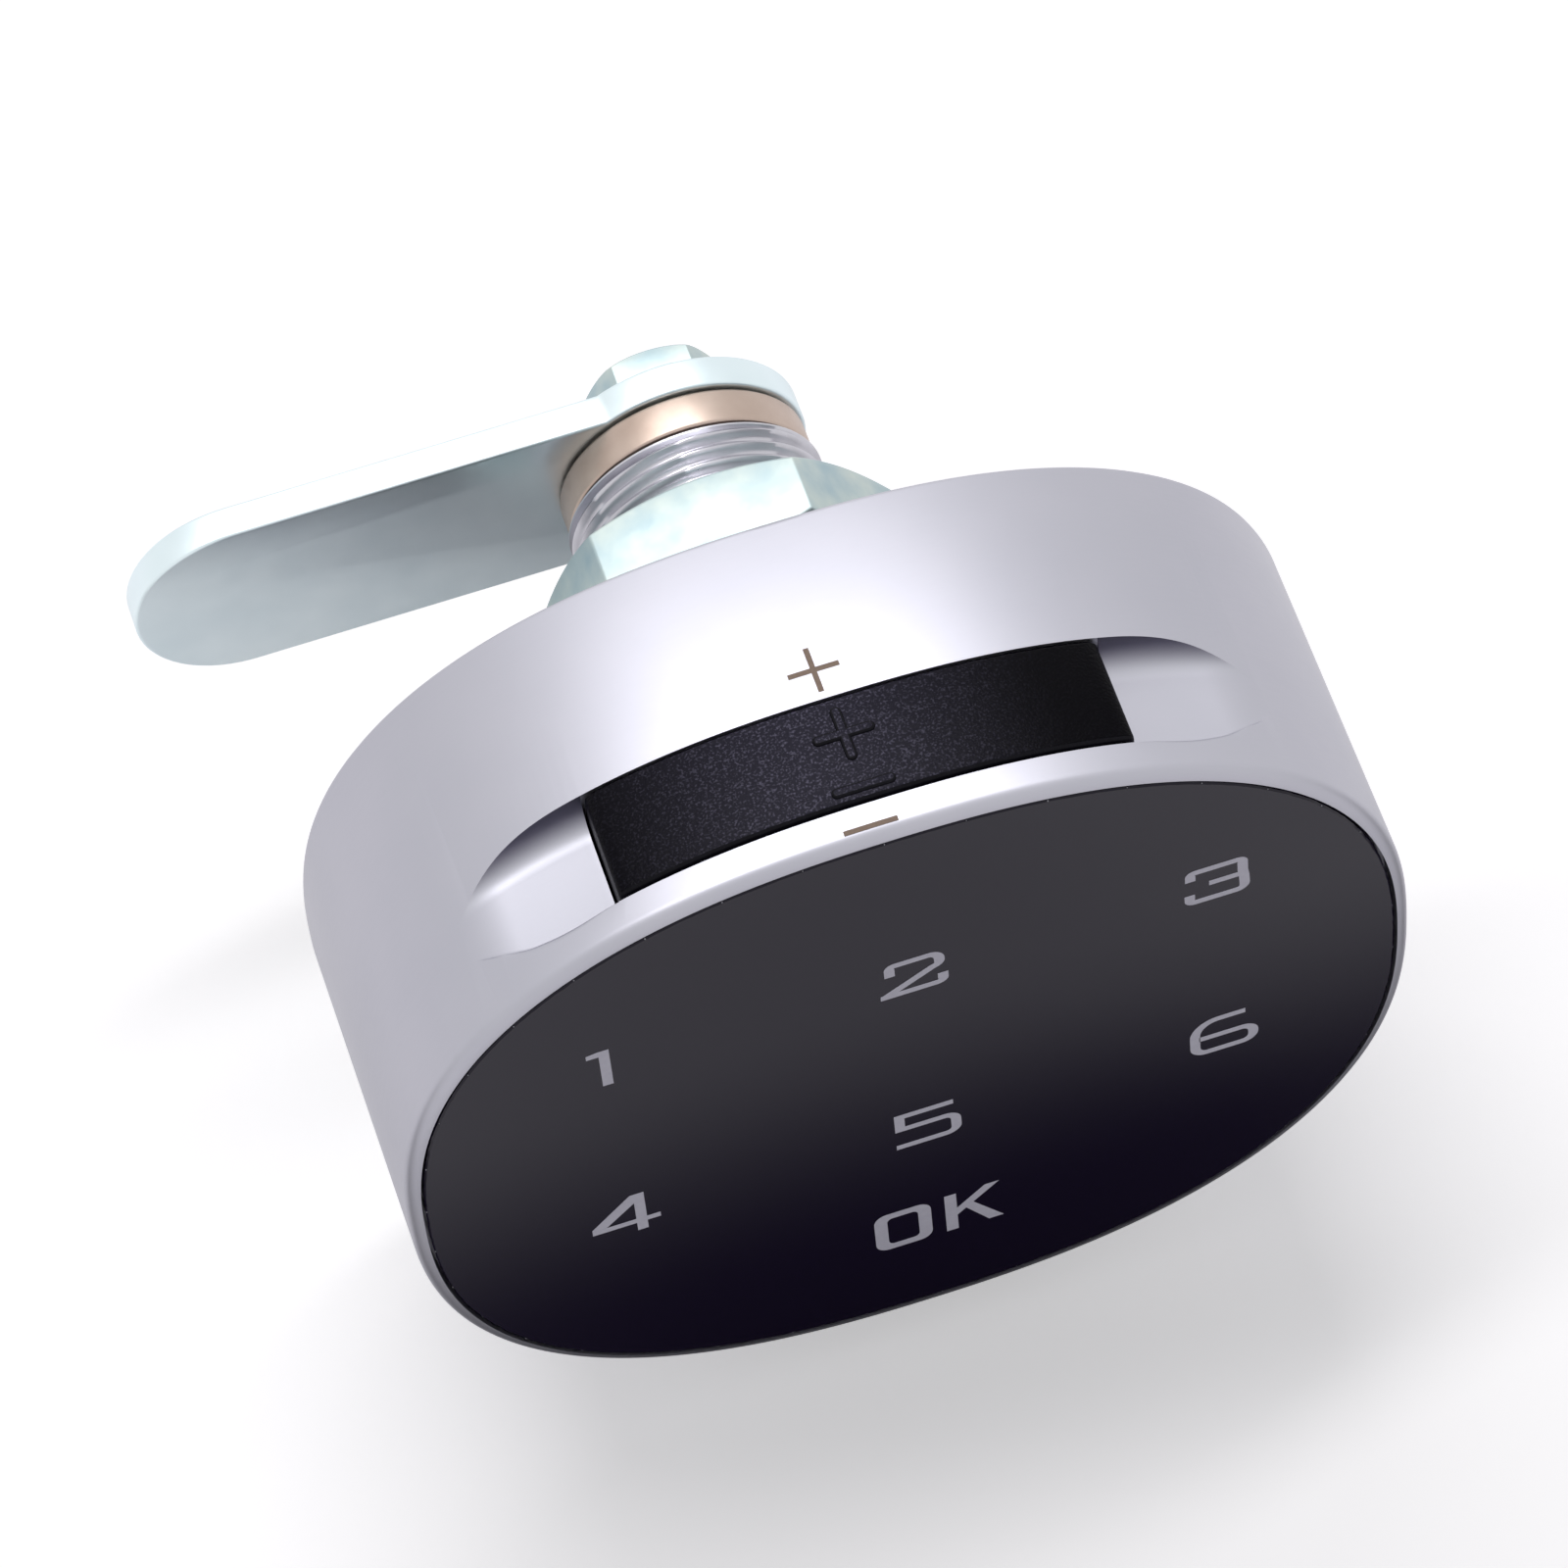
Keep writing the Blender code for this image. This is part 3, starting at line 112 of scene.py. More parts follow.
def lacquered(name, finer, mark_mm):
    """Zinc under satin lacquer. Its tool marks are finer by these factors along X, Y and Z."""
    material, tree, shader, place = surface(name, Metallic=1.0)
    stretched = put(tree, "ShaderNodeMapping", {"Vector": place, "Scale": finer})
    marks = put(
        tree, "ShaderNodeTexNoise",
        {"Vector": stretched.outputs["Vector"], "Scale": per_mm(mark_mm), "Detail": 3.0, "Roughness": 0.6},
    )
    rough = put(tree, "ShaderNodeMapRange", {"Value": marks.outputs["Fac"], "To Min": 0.38, "To Max": 0.48})
    grain = put(
        tree, "ShaderNodeBump", {"Height": marks.outputs["Fac"], "Strength": 0.10, "Distance": 0.02 * MM}
    )
    wire(tree, shader, Roughness=rough.outputs["Result"], Normal=grain.outputs["Normal"])
    return material, tree, shader, place


def drifting(name, grain_mm, detail, deep, pale, **settings):
    """A material whose tone drifts between two colours, and the noise that moves it."""
    material, tree, shader, place = surface(name, **settings)
    grain = put(tree, "ShaderNodeTexNoise", {"Vector": place, "Scale": per_mm(grain_mm), "Detail": detail})
    tone = put(
        tree, "ShaderNodeMix",
        {"Factor": grain.outputs["Fac"], "A": hexed(deep), "B": hexed(pale)},
        data_type="RGBA",
    )
    wire(tree, shader, Base_Color=tone.outputs["Result"])
    return material, tree, shader, grain.outputs["Fac"]


# Zinc casting with a satin silver lacquer: a soft sheen with a faint lilac cast. The lacquer lies over
# fine grinding marks that run round the head, 0.05 mm apart in life and drawn 0.12 mm apart to show.
satin_casting, tree, shader, place = lacquered("satin_zinc_casting", (1.0, 14.0, 1.0), 1.6)
clouds = put(tree, "ShaderNodeTexNoise", {"Vector": place, "Scale": per_mm(9.0), "Detail": 2.0})
tone = put(
    tree, "ShaderNodeMix",
    {"Factor": clouds.outputs["Fac"], "A": hexed("#B2B2BC"), "B": hexed("#BBBAC3")},
    data_type="RGBA",
)
wire(tree, shader, Base_Color=tone.outputs["Result"])

# The scoops' walls are milled after casting. Their tone is painted shade: a wall is painted darkest where it
# stands upright and comes back to the casting's own tone where it meets the floor.
milled_scoop_painted_shade, tree, shader, place = lacquered("milled_zinc_lacquered_painted_shade", (0.12, 1.0, 1.0), 0.35)
facing = put(tree, "ShaderNodeSeparateXYZ", {"Vector": put(tree, "ShaderNodeNewGeometry").outputs["Normal"]})
upright = put(
    tree, "ShaderNodeMapRange",
    {"Value": facing.outputs["Y"], "From Min": -0.98, "From Max": -0.3, "To Min": 0.0, "To Max": 1.0},
    interpolation_type="SMOOTHSTEP",
)
painted_shade_tone = put(
    tree, "ShaderNodeMix",
    {"Factor": upright.outputs["Result"], "A": hexed("#5F5D6B"), "B": hexed("#B6B6BF")},
    data_type="RGBA",
)
wire(tree, shader, Base_Color=painted_shade_tone.outputs["Result"])

# Black back-printed glass: a deep blue-black under a polished face with a fingerprint's haze
black_glass, tree, shader, place = surface(
    "black_keypad_glass", Base_Color=hexed("#150A28"), IOR=1.5, Specular_IOR_Level=0.23
)
smears = put(tree, "ShaderNodeTexNoise", {"Vector": place, "Scale": per_mm(14.0), "Detail": 4.0})
haze = put(
    tree, "ShaderNodeMapRange",
    {"Value": smears.outputs["Fac"], "From Min": 0.3, "From Max": 0.7, "To Min": 0.04, "To Max": 0.12},
)
wire(tree, shader, Roughness=haze.outputs["Result"])

# The glass plate's ground edge: pale chips along it that stand in for glints, as painted glints
painted_glint_glass = surface("ground_glass_edge", Base_Color=hexed("#D2D1D8"), Roughness=0.5, IOR=1.5)[0]

# Legends screen-printed in pale grey ink, a little uneven
panel_ink = drifting("screen_print_ink", 0.5, 3.0, "#D2D0DE", "#E2E1EC", Roughness=0.55)[0]

# Laser marking on the casting: thin brown oxide
laser_mark = drifting("laser_oxide_mark", 0.25, 2.0, "#7A6659", "#948070", Roughness=0.7)[0]

# Black ABS moulded against a spark-eroded tool: pits 0.06 mm across whose rims catch the light. They are
# drawn 0.15 mm across so that the grain shows. Pale flecks in the colour are painted glints, and the middle
# of the drawer is painted paler as a painted sheen.
PAINTED_SHEEN_MIDDLE, PAINTED_SHEEN_REACH = -2.5 * MM, 14.5 * MM
spark_plastic, tree, shader, place = surface("spark_textured_abs", IOR=1.54, Specular_IOR_Level=0.04)
pits = put(
    tree, "ShaderNodeTexNoise", {"Vector": place, "Scale": per_mm(0.15), "Detail": 1.0, "Roughness": 0.5}
)
spark_bump = put(
    tree, "ShaderNodeBump", {"Height": pits.outputs["Fac"], "Strength": 0.6, "Distance": 0.06 * MM}
)
# Painted sheen: a mask that is full at the drawer's middle and fades out sideways
across = put(tree, "ShaderNodeSeparateXYZ", {"Vector": place})
off_middle = put(tree, "ShaderNodeMath", {0: across.outputs["X"], 1: -PAINTED_SHEEN_MIDDLE}, operation="ADD")
aside = put(tree, "ShaderNodeMath", {0: off_middle.outputs["Value"]}, operation="ABSOLUTE")
painted_sheen = put(
    tree, "ShaderNodeMapRange",
    {
        "Value": aside.outputs["Value"], "From Min": 0.0, "From Max": PAINTED_SHEEN_REACH, "To Min": 1.0,
        "To Max": 0.0,
    },
    interpolation_type="SMOOTHSTEP",
)
# Painted glints: pale flecks from a fine noise
glint_flecks = put(tree, "ShaderNodeTexNoise", {"Vector": place, "Scale": per_mm(0.14), "Detail": 1.0})
painted_glints = put(
    tree, "ShaderNodeMapRange",
    {"Value": glint_flecks.outputs["Fac"], "From Min": 0.52, "From Max": 0.74, "To Min": 0.0, "To Max": 1.0},
)
# Tones of the flecks and of the ground between them, both painted paler in the middle as painted sheen
sheen_glint_tone = put(
    tree, "ShaderNodeMix",
    {"Factor": painted_sheen.outputs["Result"], "A": hexed("#0A0910"), "B": hexed("#625F71")},
    data_type="RGBA",
)
ground = put(
    tree, "ShaderNodeMix",
    {"Factor": painted_sheen.outputs["Result"], "A": hexed("#030206"), "B": hexed("#2A2834")},
    data_type="RGBA",
)
spark_tone = put(
    tree, "ShaderNodeMix",
    {"Factor": painted_glints.outputs["Result"], "A": ground.outputs["Result"], "B": sheen_glint_tone.outputs["Result"]},
    data_type="RGBA",
)
spark_rough = put(tree, "ShaderNodeMapRange", {"Value": pits.outputs["Fac"], "To Min": 0.25, "To Max": 0.4})
wire(
    tree, shader, Base_Color=spark_tone.outputs["Result"], Roughness=spark_rough.outputs["Result"],
    Normal=spark_bump.outputs["Normal"],
)

# The drawer's marks and the cap's front edge come off smoother parts of the tool: a smooth, darker copy of
# the black plastic without the painted sheen and glints of the drawer's top, so that it shows as painted
# shade
smooth_abs_painted_shade, tree, shader, skin = drifting(
    "polished_abs_marks", 0.4, 2.0, "#050409", "#17161E", IOR=1.54, Specular_IOR_Level=0.08
)
skin_rough = put(tree, "ShaderNodeMapRange", {"Value": skin, "To Min": 0.2, "To Max": 0.32})
wire(tree, shader, Roughness=skin_rough.outputs["Result"])


def plated(name, pale, deep, low, high, grain_mm=0.8, depth_mm=0.01, patch_mm=5.0):
    """Plated or bare metal: a base tone that drifts, a patchy sheen and a fine tumbled grain."""
    material, tree, shader, place = surface(name, Metallic=1.0)
    drift = put(tree, "ShaderNodeTexNoise", {"Vector": place, "Scale": per_mm(patch_mm), "Detail": 3.0})
    fine = put(tree, "ShaderNodeTexNoise", {"Vector": place, "Scale": per_mm(grain_mm), "Detail": 4.0})
    patches = put(
        tree, "ShaderNodeMapRange", {"Value": drift.outputs["Fac"], "From Min": 0.28, "From Max": 0.72}
    )
    colour = put(
        tree, "ShaderNodeMix",
        {"Factor": patches.outputs["Result"], "A": hexed(deep), "B": hexed(pale)},
        data_type="RGBA",
    )
    sheen = put(tree, "ShaderNodeMapRange", {"Value": fine.outputs["Fac"], "To Min": low, "To Max": high})
    relief = put(
        tree, "ShaderNodeBump", {"Height": fine.outputs["Fac"], "Strength": 0.25, "Distance": depth_mm * MM}
    )
    wire(
        tree, shader, Base_Color=colour.outputs["Result"], Roughness=sheen.outputs["Result"],
        Normal=relief.outputs["Normal"],
    )
    return material


def moulded(name, pale, deep, low, high, grain_mm=0.4):
    """Moulded, laminated or rubber surface: a drifting tone and a fine matt grain 0.02 mm deep."""
    material, tree, shader, grain = drifting(name, grain_mm, 3.0, deep, pale)
    sheen = put(tree, "ShaderNodeMapRange", {"Value": grain, "To Min": low, "To Max": high})
    relief = put(tree, "ShaderNodeBump", {"Height": grain, "Strength": 0.3, "Distance": 0.02 * MM})
    wire(tree, shader, Roughness=sheen.outputs["Result"], Normal=relief.outputs["Normal"])
    return material


# Blue-white passivated zinc on forged steel: cool and satin
blue_zinc = plated(
    "blue_zinc_plate", "#C8D1CC", "#A6BAC1", 0.46, 0.58, grain_mm=1.1, depth_mm=0.05, patch_mm=2.6
)
# Rolled cam stock under the same plating, paler and smoother, with broad clouds
cam_zinc = plated("blue_zinc_cam_stock", "#EAF5F8", "#D8E6EB", 0.26, 0.42, grain_mm=1.4, patch_mm=9.0)
# Zinc alloy with a cut thread: bare, and smoother than the casting's lacquered outside
thread_zinc = plated("machined_zinc_thread", "#CFCED5", "#B2B1B8", 0.24, 0.36, grain_mm=0.3)
# Bare die casting inside and on the cover
raw_zinc = plated("raw_zinc_casting", "#A2A2A7", "#939398", 0.42, 0.6, grain_mm=0.5, depth_mm=0.03)
# Sintered bronze collar: pale brown with a pink cast
bronze = plated("sintered_bronze", "#C6B5AA", "#AA968A", 0.3, 0.46, grain_mm=0.25)
# Ground steel of the spindle, plunger and ring
ground_steel = plated("ground_steel", "#B9B9BD", "#A3A3A8", 0.25, 0.38, grain_mm=0.3)
# Nickel-plated cell can and solenoid can
nickel = plated("nickel_plate", "#CBC7BE", "#C1BCB2", 0.16, 0.28, grain_mm=1.2)
# Gold flash on the battery contacts
gold = plated("gold_flash", "#D8B36A", "#C49C52", 0.22, 0.34)
# Door-side sealing ring, matt black nitrile
nitrile = moulded("nitrile_rubber", "#1B1B1C", "#121213", 0.6, 0.8)
# Foam tape under the glass
foam = moulded("foam_tape", "#1A1A1B", "#0E0E0F", 0.85, 1.0)
# Glass-fibre board under green solder resist
solder_resist = moulded("green_solder_resist", "#1F6B43", "#175336", 0.3, 0.45, grain_mm=1.5)
# Epoxy moulding of the chip and buzzer
epoxy = moulded("epoxy_moulding", "#222223", "#171718", 0.45, 0.6)
# Ivory nylon of the connector
nylon = moulded("ivory_nylon", "#D9D0B8", "#CBC1A6", 0.45, 0.6)
# Grey acetal of the drawer's guide
acetal = moulded("grey_acetal", "#57575B", "#48484C", 0.35, 0.5)

# The finish of each CAD node
FINISHES = (
    (satin_casting, "housing"),
    (black_glass, "touch_panel"),
    (spark_plastic, "battery_drawer"),
    (thread_zinc, "barrel"),
    (raw_zinc, "back_cover"),
    (cam_zinc, "cam"),
    (bronze, "stop_collar"),
    (blue_zinc, "hex_nut washer spring_washer cam_bolt spindle_screw_1 spindle_screw_2 spindle_screw_3"),
    (blue_zinc, "cover_screw_1 cover_screw_2 cover_screw_3 cover_screw_4"),
    (ground_steel, "lock_ring solenoid_plunger spindle"),
    (nickel, "coin_cell solenoid"),
    (gold, "contact_minus contact_plus"),
    (solder_resist, "main_board touch_board"),
    (epoxy, "buzzer controller_chip"),
    (nylon, "board_connector"),
    (acetal, "drawer_guide"),
    (foam, "panel_tape"),
    (nitrile, "door_gasket"),
)
NODE_FINISH = {name: finish for finish, names in FINISHES for name in names.split()}


# Building blocks
def dress(obj, material):
    obj.data.materials.clear()
    obj.data.materials.append(material)
    return obj


for name, node in nodes.items():
    dress(node, NODE_FINISH[name])


def link(name, data):
    obj = bpy.data.objects.new(name, data)
    bpy.context.scene.collection.objects.link(obj)
    return obj


def from_shape(name, shape, solid=True):
    """A new object at the origin from a bmesh in millimetres. A solid's faces are turned outwards."""
    bmesh.ops.scale(shape, vec=(MM, MM, MM), verts=shape.verts)
    if solid:
        bmesh.ops.recalc_face_normals(shape, faces=shape.faces)
    mesh = bpy.data.meshes.new(name)
    shape.to_mesh(mesh)
    shape.free()
    return link(name, mesh)


def soften(obj, angle=30):
    """Smooth shading, with edges sharper than the angle kept crisp."""
    for polygon in obj.data.polygons:
        polygon.use_smooth = True
    obj.data.set_sharp_from_angle(angle=math.radians(angle))
    return obj


def settle(obj):
    """Applies every modifier and leaves a plain mesh at the origin."""
    bpy.context.view_layer.update()
    graph = bpy.context.evaluated_depsgraph_get()
    mesh = bpy.data.meshes.new_from_object(obj.evaluated_get(graph), depsgraph=graph)
    mesh.transform(obj.matrix_world)
    obj.modifiers.clear()
    obj.data = mesh
    obj.matrix_world = Matrix.Identity(4)
    return obj


def carve(obj, tool, operation="DIFFERENCE"):
    """Cuts the tool from the piece, joins the two or keeps what they share, and removes the tool."""
    modifier = obj.modifiers.new("carve", "BOOLEAN")
    modifier.operation = operation
    modifier.solver = "EXACT"
    modifier.object = tool
    settle(obj)
    bpy.data.objects.remove(tool)


def round_edges(obj, width, angle):
    bevel = obj.modifiers.new("edges", "BEVEL")
    bevel.width = width * MM
    bevel.segments = 2
    bevel.limit_method = "ANGLE"
    bevel.angle_limit = math.radians(angle)
    settle(obj)


def oval(inset=0.0, top=None, count=OVAL_POINTS):
    """The head's outline, a superellipse, drawn in by the inset and cut off level at the top."""
    across, up = HEAD_ACROSS - inset, HEAD_UP - inset
    points = []
    for i in range(count):
        angle = 2 * math.pi * (i + 0.5) / count + math.pi / 2
        c, s = math.cos(angle), math.sin(angle)
        x = across * math.copysign(abs(c) ** (2 / HEAD_POWER), c)
        z = up * math.copysign(abs(s) ** (2 / HEAD_POWER), s)
        points.append((x, z))
    if top is None:
        return points
    reach = across * (1 - (abs(top) / up) ** HEAD_POWER) ** (1 / HEAD_POWER)
    return [(-reach, top)] + [p for p in points if p[1] < top - CUT_GAP] + [(reach, top)]


def top_of_head(x):
    """Height of the head's outline above the axis at this distance from its middle."""
    return HEAD_UP * (1 - (abs(x) / HEAD_ACROSS) ** HEAD_POWER) ** (1 / HEAD_POWER)


def walls(shape, rings):
    """Faces between each closed ring and the next."""
    for near, far in zip(rings, rings[1:]):
        for i in range(len(near)):
            j = (i + 1) % len(near)
            shape.faces.new((near[i], near[j], far[j], far[i]))


def capped(name, shape, rings):
    """A solid through the rings, with flat ends."""
    walls(shape, rings)
    shape.faces.new(rings[0])
    shape.faces.new(list(reversed(rings[-1])))
    return from_shape(name, shape)


def stacked(name, levels):
    """A solid from closed outlines in X and Z, one above another along Y, with flat ends."""
    shape = bmesh.new()
    return capped(name, shape, [[shape.verts.new((x, y, z)) for x, z in outline] for outline, y in levels])


def block(name, x, y, z):
    shape = bmesh.new()
    size = (x[1] - x[0], y[1] - y[0], z[1] - z[0])
    centre = ((x[0] + x[1]) / 2, (y[0] + y[1]) / 2, (z[0] + z[1]) / 2)
    place = Matrix.Translation(centre) @ Matrix.Diagonal(size).to_4x4()
    bmesh.ops.create_cube(shape, size=1.0, matrix=place)
    return from_shape(name, shape)


def turned(name, profile, sides=96, centre=(0.0, 0.0)):
    """A piece turned about the Y direction from (radius, y) pairs. A radius of 0 closes on the axis."""
    shape = bmesh.new()
    rings = []
    for radius, y in profile:
        if radius == 0:
            rings.append([shape.verts.new((centre[0], y, centre[1]))])
            continue
        rings.append(
            [
                shape.verts.new(
                    (
                        centre[0] + radius * math.cos(2 * math.pi * i / sides),
                        y,
                        centre[1] + radius * math.sin(2 * math.pi * i / sides),
                    )
                )
                for i in range(sides)
            ]
        )
    pairs = list(zip(rings, rings[1:]))
    if profile[0][0] and profile[-1][0]:
        pairs.append((rings[-1], rings[0]))
    for a, b in pairs:
        for i in range(sides):
            j = (i + 1) % sides
            if len(a) == 1:
                shape.faces.new((a[0], b[j], b[i]))
            elif len(b) == 1:
                shape.faces.new((a[i], a[j], b[0]))
            else:
                shape.faces.new((a[i], a[j], b[j], b[i]))
    return from_shape(name, shape)


def quarter(radius, steps=6):
    """(out, along) steps of a quarter round, from flat to upright."""
    return [
        (radius * (1 - math.sin(math.pi / 2 * i / steps)), radius * (1 - math.cos(math.pi / 2 * i / steps)))
        for i in range(steps + 1)
    ]


def arc(cx, cz, rx, rz, start, end, steps=8):
    """Points along a round or oval arc, with its angles in degrees."""
    return [
        (
            cx + rx * math.cos(math.radians(start + (end - start) * i / steps)),
            cz + rz * math.sin(math.radians(start + (end - start) * i / steps)),
        )
        for i in range(steps + 1)
    ]


# Camera at the photo's own angle, from the outlines and the keypad's grid
camera_data = bpy.data.cameras.new("camera")
camera_data.sensor_width = 36.0
camera_data.lens = 189.0
camera_data.clip_start = 0.01
camera_data.clip_end = 20.0
camera = link("camera", camera_data)
right = Vector((0.950432, -0.304639, -0.062244))
up = Vector((0.290886, 0.800441, 0.524099))
back = Vector((-0.109839, -0.516227, 0.849379))
turn = Matrix((right, up, back)).transposed().to_4x4()
camera.matrix_world = Matrix.Translation((-0.05377, -0.24899, 0.40796)) @ turn
bpy.context.scene.camera = camera

# Housing: rounded front rim, small back edge, drawer slot and the two finger scoops
levels = [(oval(inset), PANEL + along) for inset, along in quarter(RIM, 8)]
levels += [(oval(inset), HEAD_BACK - along) for inset, along in reversed(quarter(BACK_EDGE, 3))]
housing = stacked("housing_casting", levels)
hollow = oval(WALL, WINDOW_TOP)
carve(housing, stacked("pocket", [(oval(RIM), PANEL - PAST), (oval(RIM), LEDGE)]))
carve(housing, stacked("front_hollow", [(hollow, LEDGE - LAP), (hollow, WEB)]))
carve(housing, stacked("back_hollow", [(oval(WALL), WEB_BACK), (oval(WALL), HEAD_BACK + PAST)]))
carve(housing, block("slot", (-SCOOP_MOUTH, SCOOP_MOUTH), (SLOT, WEB), (WINDOW_TOP - PAST, ABOVE_HEAD)))

# The scoop's tool: it narrows outwards from here, over this length, by this much in front and behind
NARROW_FROM, NARROW_OVER, NARROW_FRONT, NARROW_REAR = 16.0, 6.4, 1.5, 0.7
# The lip opens over this length from a tenth of its size, and the tool stands this far in front of it
LIP_OPENS_OVER, LIP_START, LIP_PAST = 4.0, 0.1, 0.12
# Radius at the foot of the front wall, the tool's top, and how far its floor ends above the outline
SCOOP_FOOT, SCOOP_TOP, SCOOP_RUN_OUT = 0.45, 34.0, 0.012
SCOOP_STATIONS = 44


def scoop_floor(x):
    """The scoop's floor falls outwards and runs out smoothly into the head's own outline."""
    flat = SCOOP_LEVEL - max(0.0, x - SCOOP_MOUTH) * math.tan(math.radians(SCOOP_TILT))
    over = top_of_head(x)
    blend = max(SCOOP_BLEND - abs(over - flat), 0.0) / SCOOP_BLEND
    return min(flat, over) - SCOOP_BLEND * blend**2 / 4 + SCOOP_RUN_OUT


def scoop_section(x):
    """The scoop's outline in Y and Z at this x: a coved rear wall, and a lip that rolls over in front."""
    narrowing = (max(0.0, x - NARROW_FROM) / NARROW_OVER) ** 2
    front, rear = SLOT + NARROW_FRONT * narrowing, WEB - NARROW_REAR * narrowing
    floor, over = scoop_floor(x), top_of_head(x)
    opened = min(max((x - SCOOP_MOUTH) / LIP_OPENS_OVER, 0.0), 1.0)
    lip_out = SCOOP_LIP * (LIP_START + (1 - LIP_START) * opened * opened * (3 - 2 * opened))
    ahead = front - lip_out - LIP_PAST
    lip_base = max(over - lip_out, floor + SCOOP_FOOT + HAIR)
    return (
        arc(rear - SCOOP_FILLET, floor + SCOOP_FILLET, SCOOP_FILLET, SCOOP_FILLET, -90, 0, 14)
        + [(rear, SCOOP_TOP), (ahead, SCOOP_TOP), (ahead, over + SMALL_LAP)]
        + arc(front - lip_out, lip_base, lip_out, over - lip_base, 80, 0, 8)
        + arc(front + SCOOP_FOOT, floor + SCOOP_FOOT, SCOOP_FOOT, SCOOP_FOOT, 180, 270, 6)
    )


for side in (1, -1):
    first = SCOOP_MOUTH - SMALL_LAP
    stations = [
        side * (first + (SCOOP_END - first) * i / SCOOP_STATIONS) for i in range(SCOOP_STATIONS + 1)
    ]
    shape = bmesh.new()
    rings = [[shape.verts.new((x, y, z)) for y, z in scoop_section(abs(x))] for x in stations]
    carve(housing, capped("scoop", shape, rings))
dress(soften(housing), satin_casting)
housing.data.materials.append(milled_scoop_painted_shade)
# The scoops' rear walls, which take the painted shade, are the faces above this height, outside the slot,
# that look forwards
SCOOP_LOWEST, LOOKS_FORWARDS = 17.0, -0.2
for polygon in housing.data.polygons:
    x, y, z = polygon.center / MM
    in_scoop = SLOT < y < WEB + HAIR and abs(x) > SCOOP_MOUTH + HAIR and z > SCOOP_LOWEST
    if in_scoop and polygon.normal.y < LOOKS_FORWARDS:
        polygon.material_index = 1
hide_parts("housing")
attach(housing, "head")

# Glass: a plate whose ground edge wavers by a few hundredths of a millimetre
GLASS_INSET = RIM + 0.2
GLASS_THICKNESS = 1.1
GLASS_BEVEL, GLASS_POINTS = 0.10, 512
WAVER, WAVERS_PER_MM, WAVER_PLACE = 0.05, 1.7, 3.1


def wavering(inset):
    points = []
    for x, z in oval(inset, count=GLASS_POINTS):
        away = Vector((x, 0, z)).normalized()
        wobble = noise.noise(Vector((x * WAVERS_PER_MM, WAVER_PLACE, z * WAVERS_PER_MM))) * WAVER
        points.append((x + away.x * wobble, z + away.z * wobble))
    return points


glass = stacked(
    "keypad_glass",
    [
        (wavering(GLASS_INSET + GLASS_BEVEL), PANEL),
        (wavering(GLASS_INSET), PANEL + GLASS_BEVEL),
        (wavering(GLASS_INSET), PANEL + GLASS_THICKNESS),
    ],
)
dress(soften(glass), black_glass)
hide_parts("touch_panel")
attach(glass, "head")

# Legends: each figure is a set of strokes in the plane of the glass
LEGEND_LIFT = 0.010
LAYER = 0.001
SAME_POINT = 0.0004
STEM = 0.62
THIN = 0.48


def pen(*centreline):
    """A stroke of a broad nib: wide where it runs upright, thin where it runs level."""
    left, right_side = [], []
    for i, (x, z) in enumerate(centreline):
        x0, z0 = centreline[max(i - 1, 0)]
        x1, z1 = centreline[min(i + 1, len(centreline) - 1)]
        dx, dz = x1 - x0, z1 - z0
        length = math.hypot(dx, dz)
        nx, nz = -dz / length, dx / length
        reach = 0.5 / math.hypot(nx / STEM, nz / THIN)
        left.append((x + nx * reach, z + nz * reach))
        right_side.append((x - nx * reach, z - nz * reach))
    return [
        [left[i], left[i + 1], right_side[i + 1], right_side[i]] for i in range(len(centreline) - 1)
    ]


def area(*corners):
    return [list(corners)]


def figure(name, strokes, centre):
    """Ink film for one figure. Each stroke lies a micrometre above the last, so no two share a plane."""
    shape = bmesh.new()
    for layer, stroke in enumerate(strokes):
        y = PANEL - LEGEND_LIFT - LAYER * layer
        for outline in stroke:
            corners = [shape.verts.new((x + centre[0], y, z + centre[1])) for x, z in outline]
            shape.faces.new(corners)
    bmesh.ops.remove_doubles(shape, verts=shape.verts, dist=SAME_POINT)
    for face in shape.faces:
        face.normal_update()
        if face.normal.y > 0:
            face.normal_flip()
    obj = dress(from_shape(name, shape, solid=False), panel_ink)
    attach(obj, "head")


ONE = [
    area((-0.16, -1.87), (0.46, -1.87), (0.46, 1.93), (-0.16, 1.93)),
    area((-0.88, 1.38), (-0.10, 1.38), (-0.10, 1.93), (-0.25, 1.93), (-0.88, 1.82)),
]
TWO = [
    pen(
        (-1.26, 0.28), (-1.26, 0.9), *arc(-0.96, 1.06, 0.30, 0.32, 180, 90, 5),
        *arc(1.08, 0.72, 0.60, 0.66, 90, 0, 7), *arc(1.18, 0.55, 0.50, 0.50, 0, -50, 4),
        (1.2, 0.02), (-1.62, -1.74),
    ),
    pen((-1.88, -1.77), (1.2, -1.77), *arc(1.42, -1.45, 0.40, 0.32, -90, 0, 6), (1.82, -0.86)),
    area((-1.9, -2.0), (-1.2, -2.0), (-1.2, -1.5), (-1.9, -1.62)),
]
THREE = [
    pen(
        (-1.56, 0.52), (-1.56, 1.0), *arc(-1.26, 1.08, 0.30, 0.30, 180, 90, 5),
        *arc(1.25, 1.08, 0.30, 0.30, 90, 0, 6), (1.55, 0.1), (1.62, -0.45),
        *arc(1.14, -1.29, 0.50, 0.49, 0, -90, 7), *arc(-1.32, -1.46, 0.31, 0.31, -90, -180, 5),
        (-1.63, -0.92),
    ),
    area((-0.46, -0.41), (1.45, -0.41), (1.45, 0.07), (-0.46, 0.07)),
]
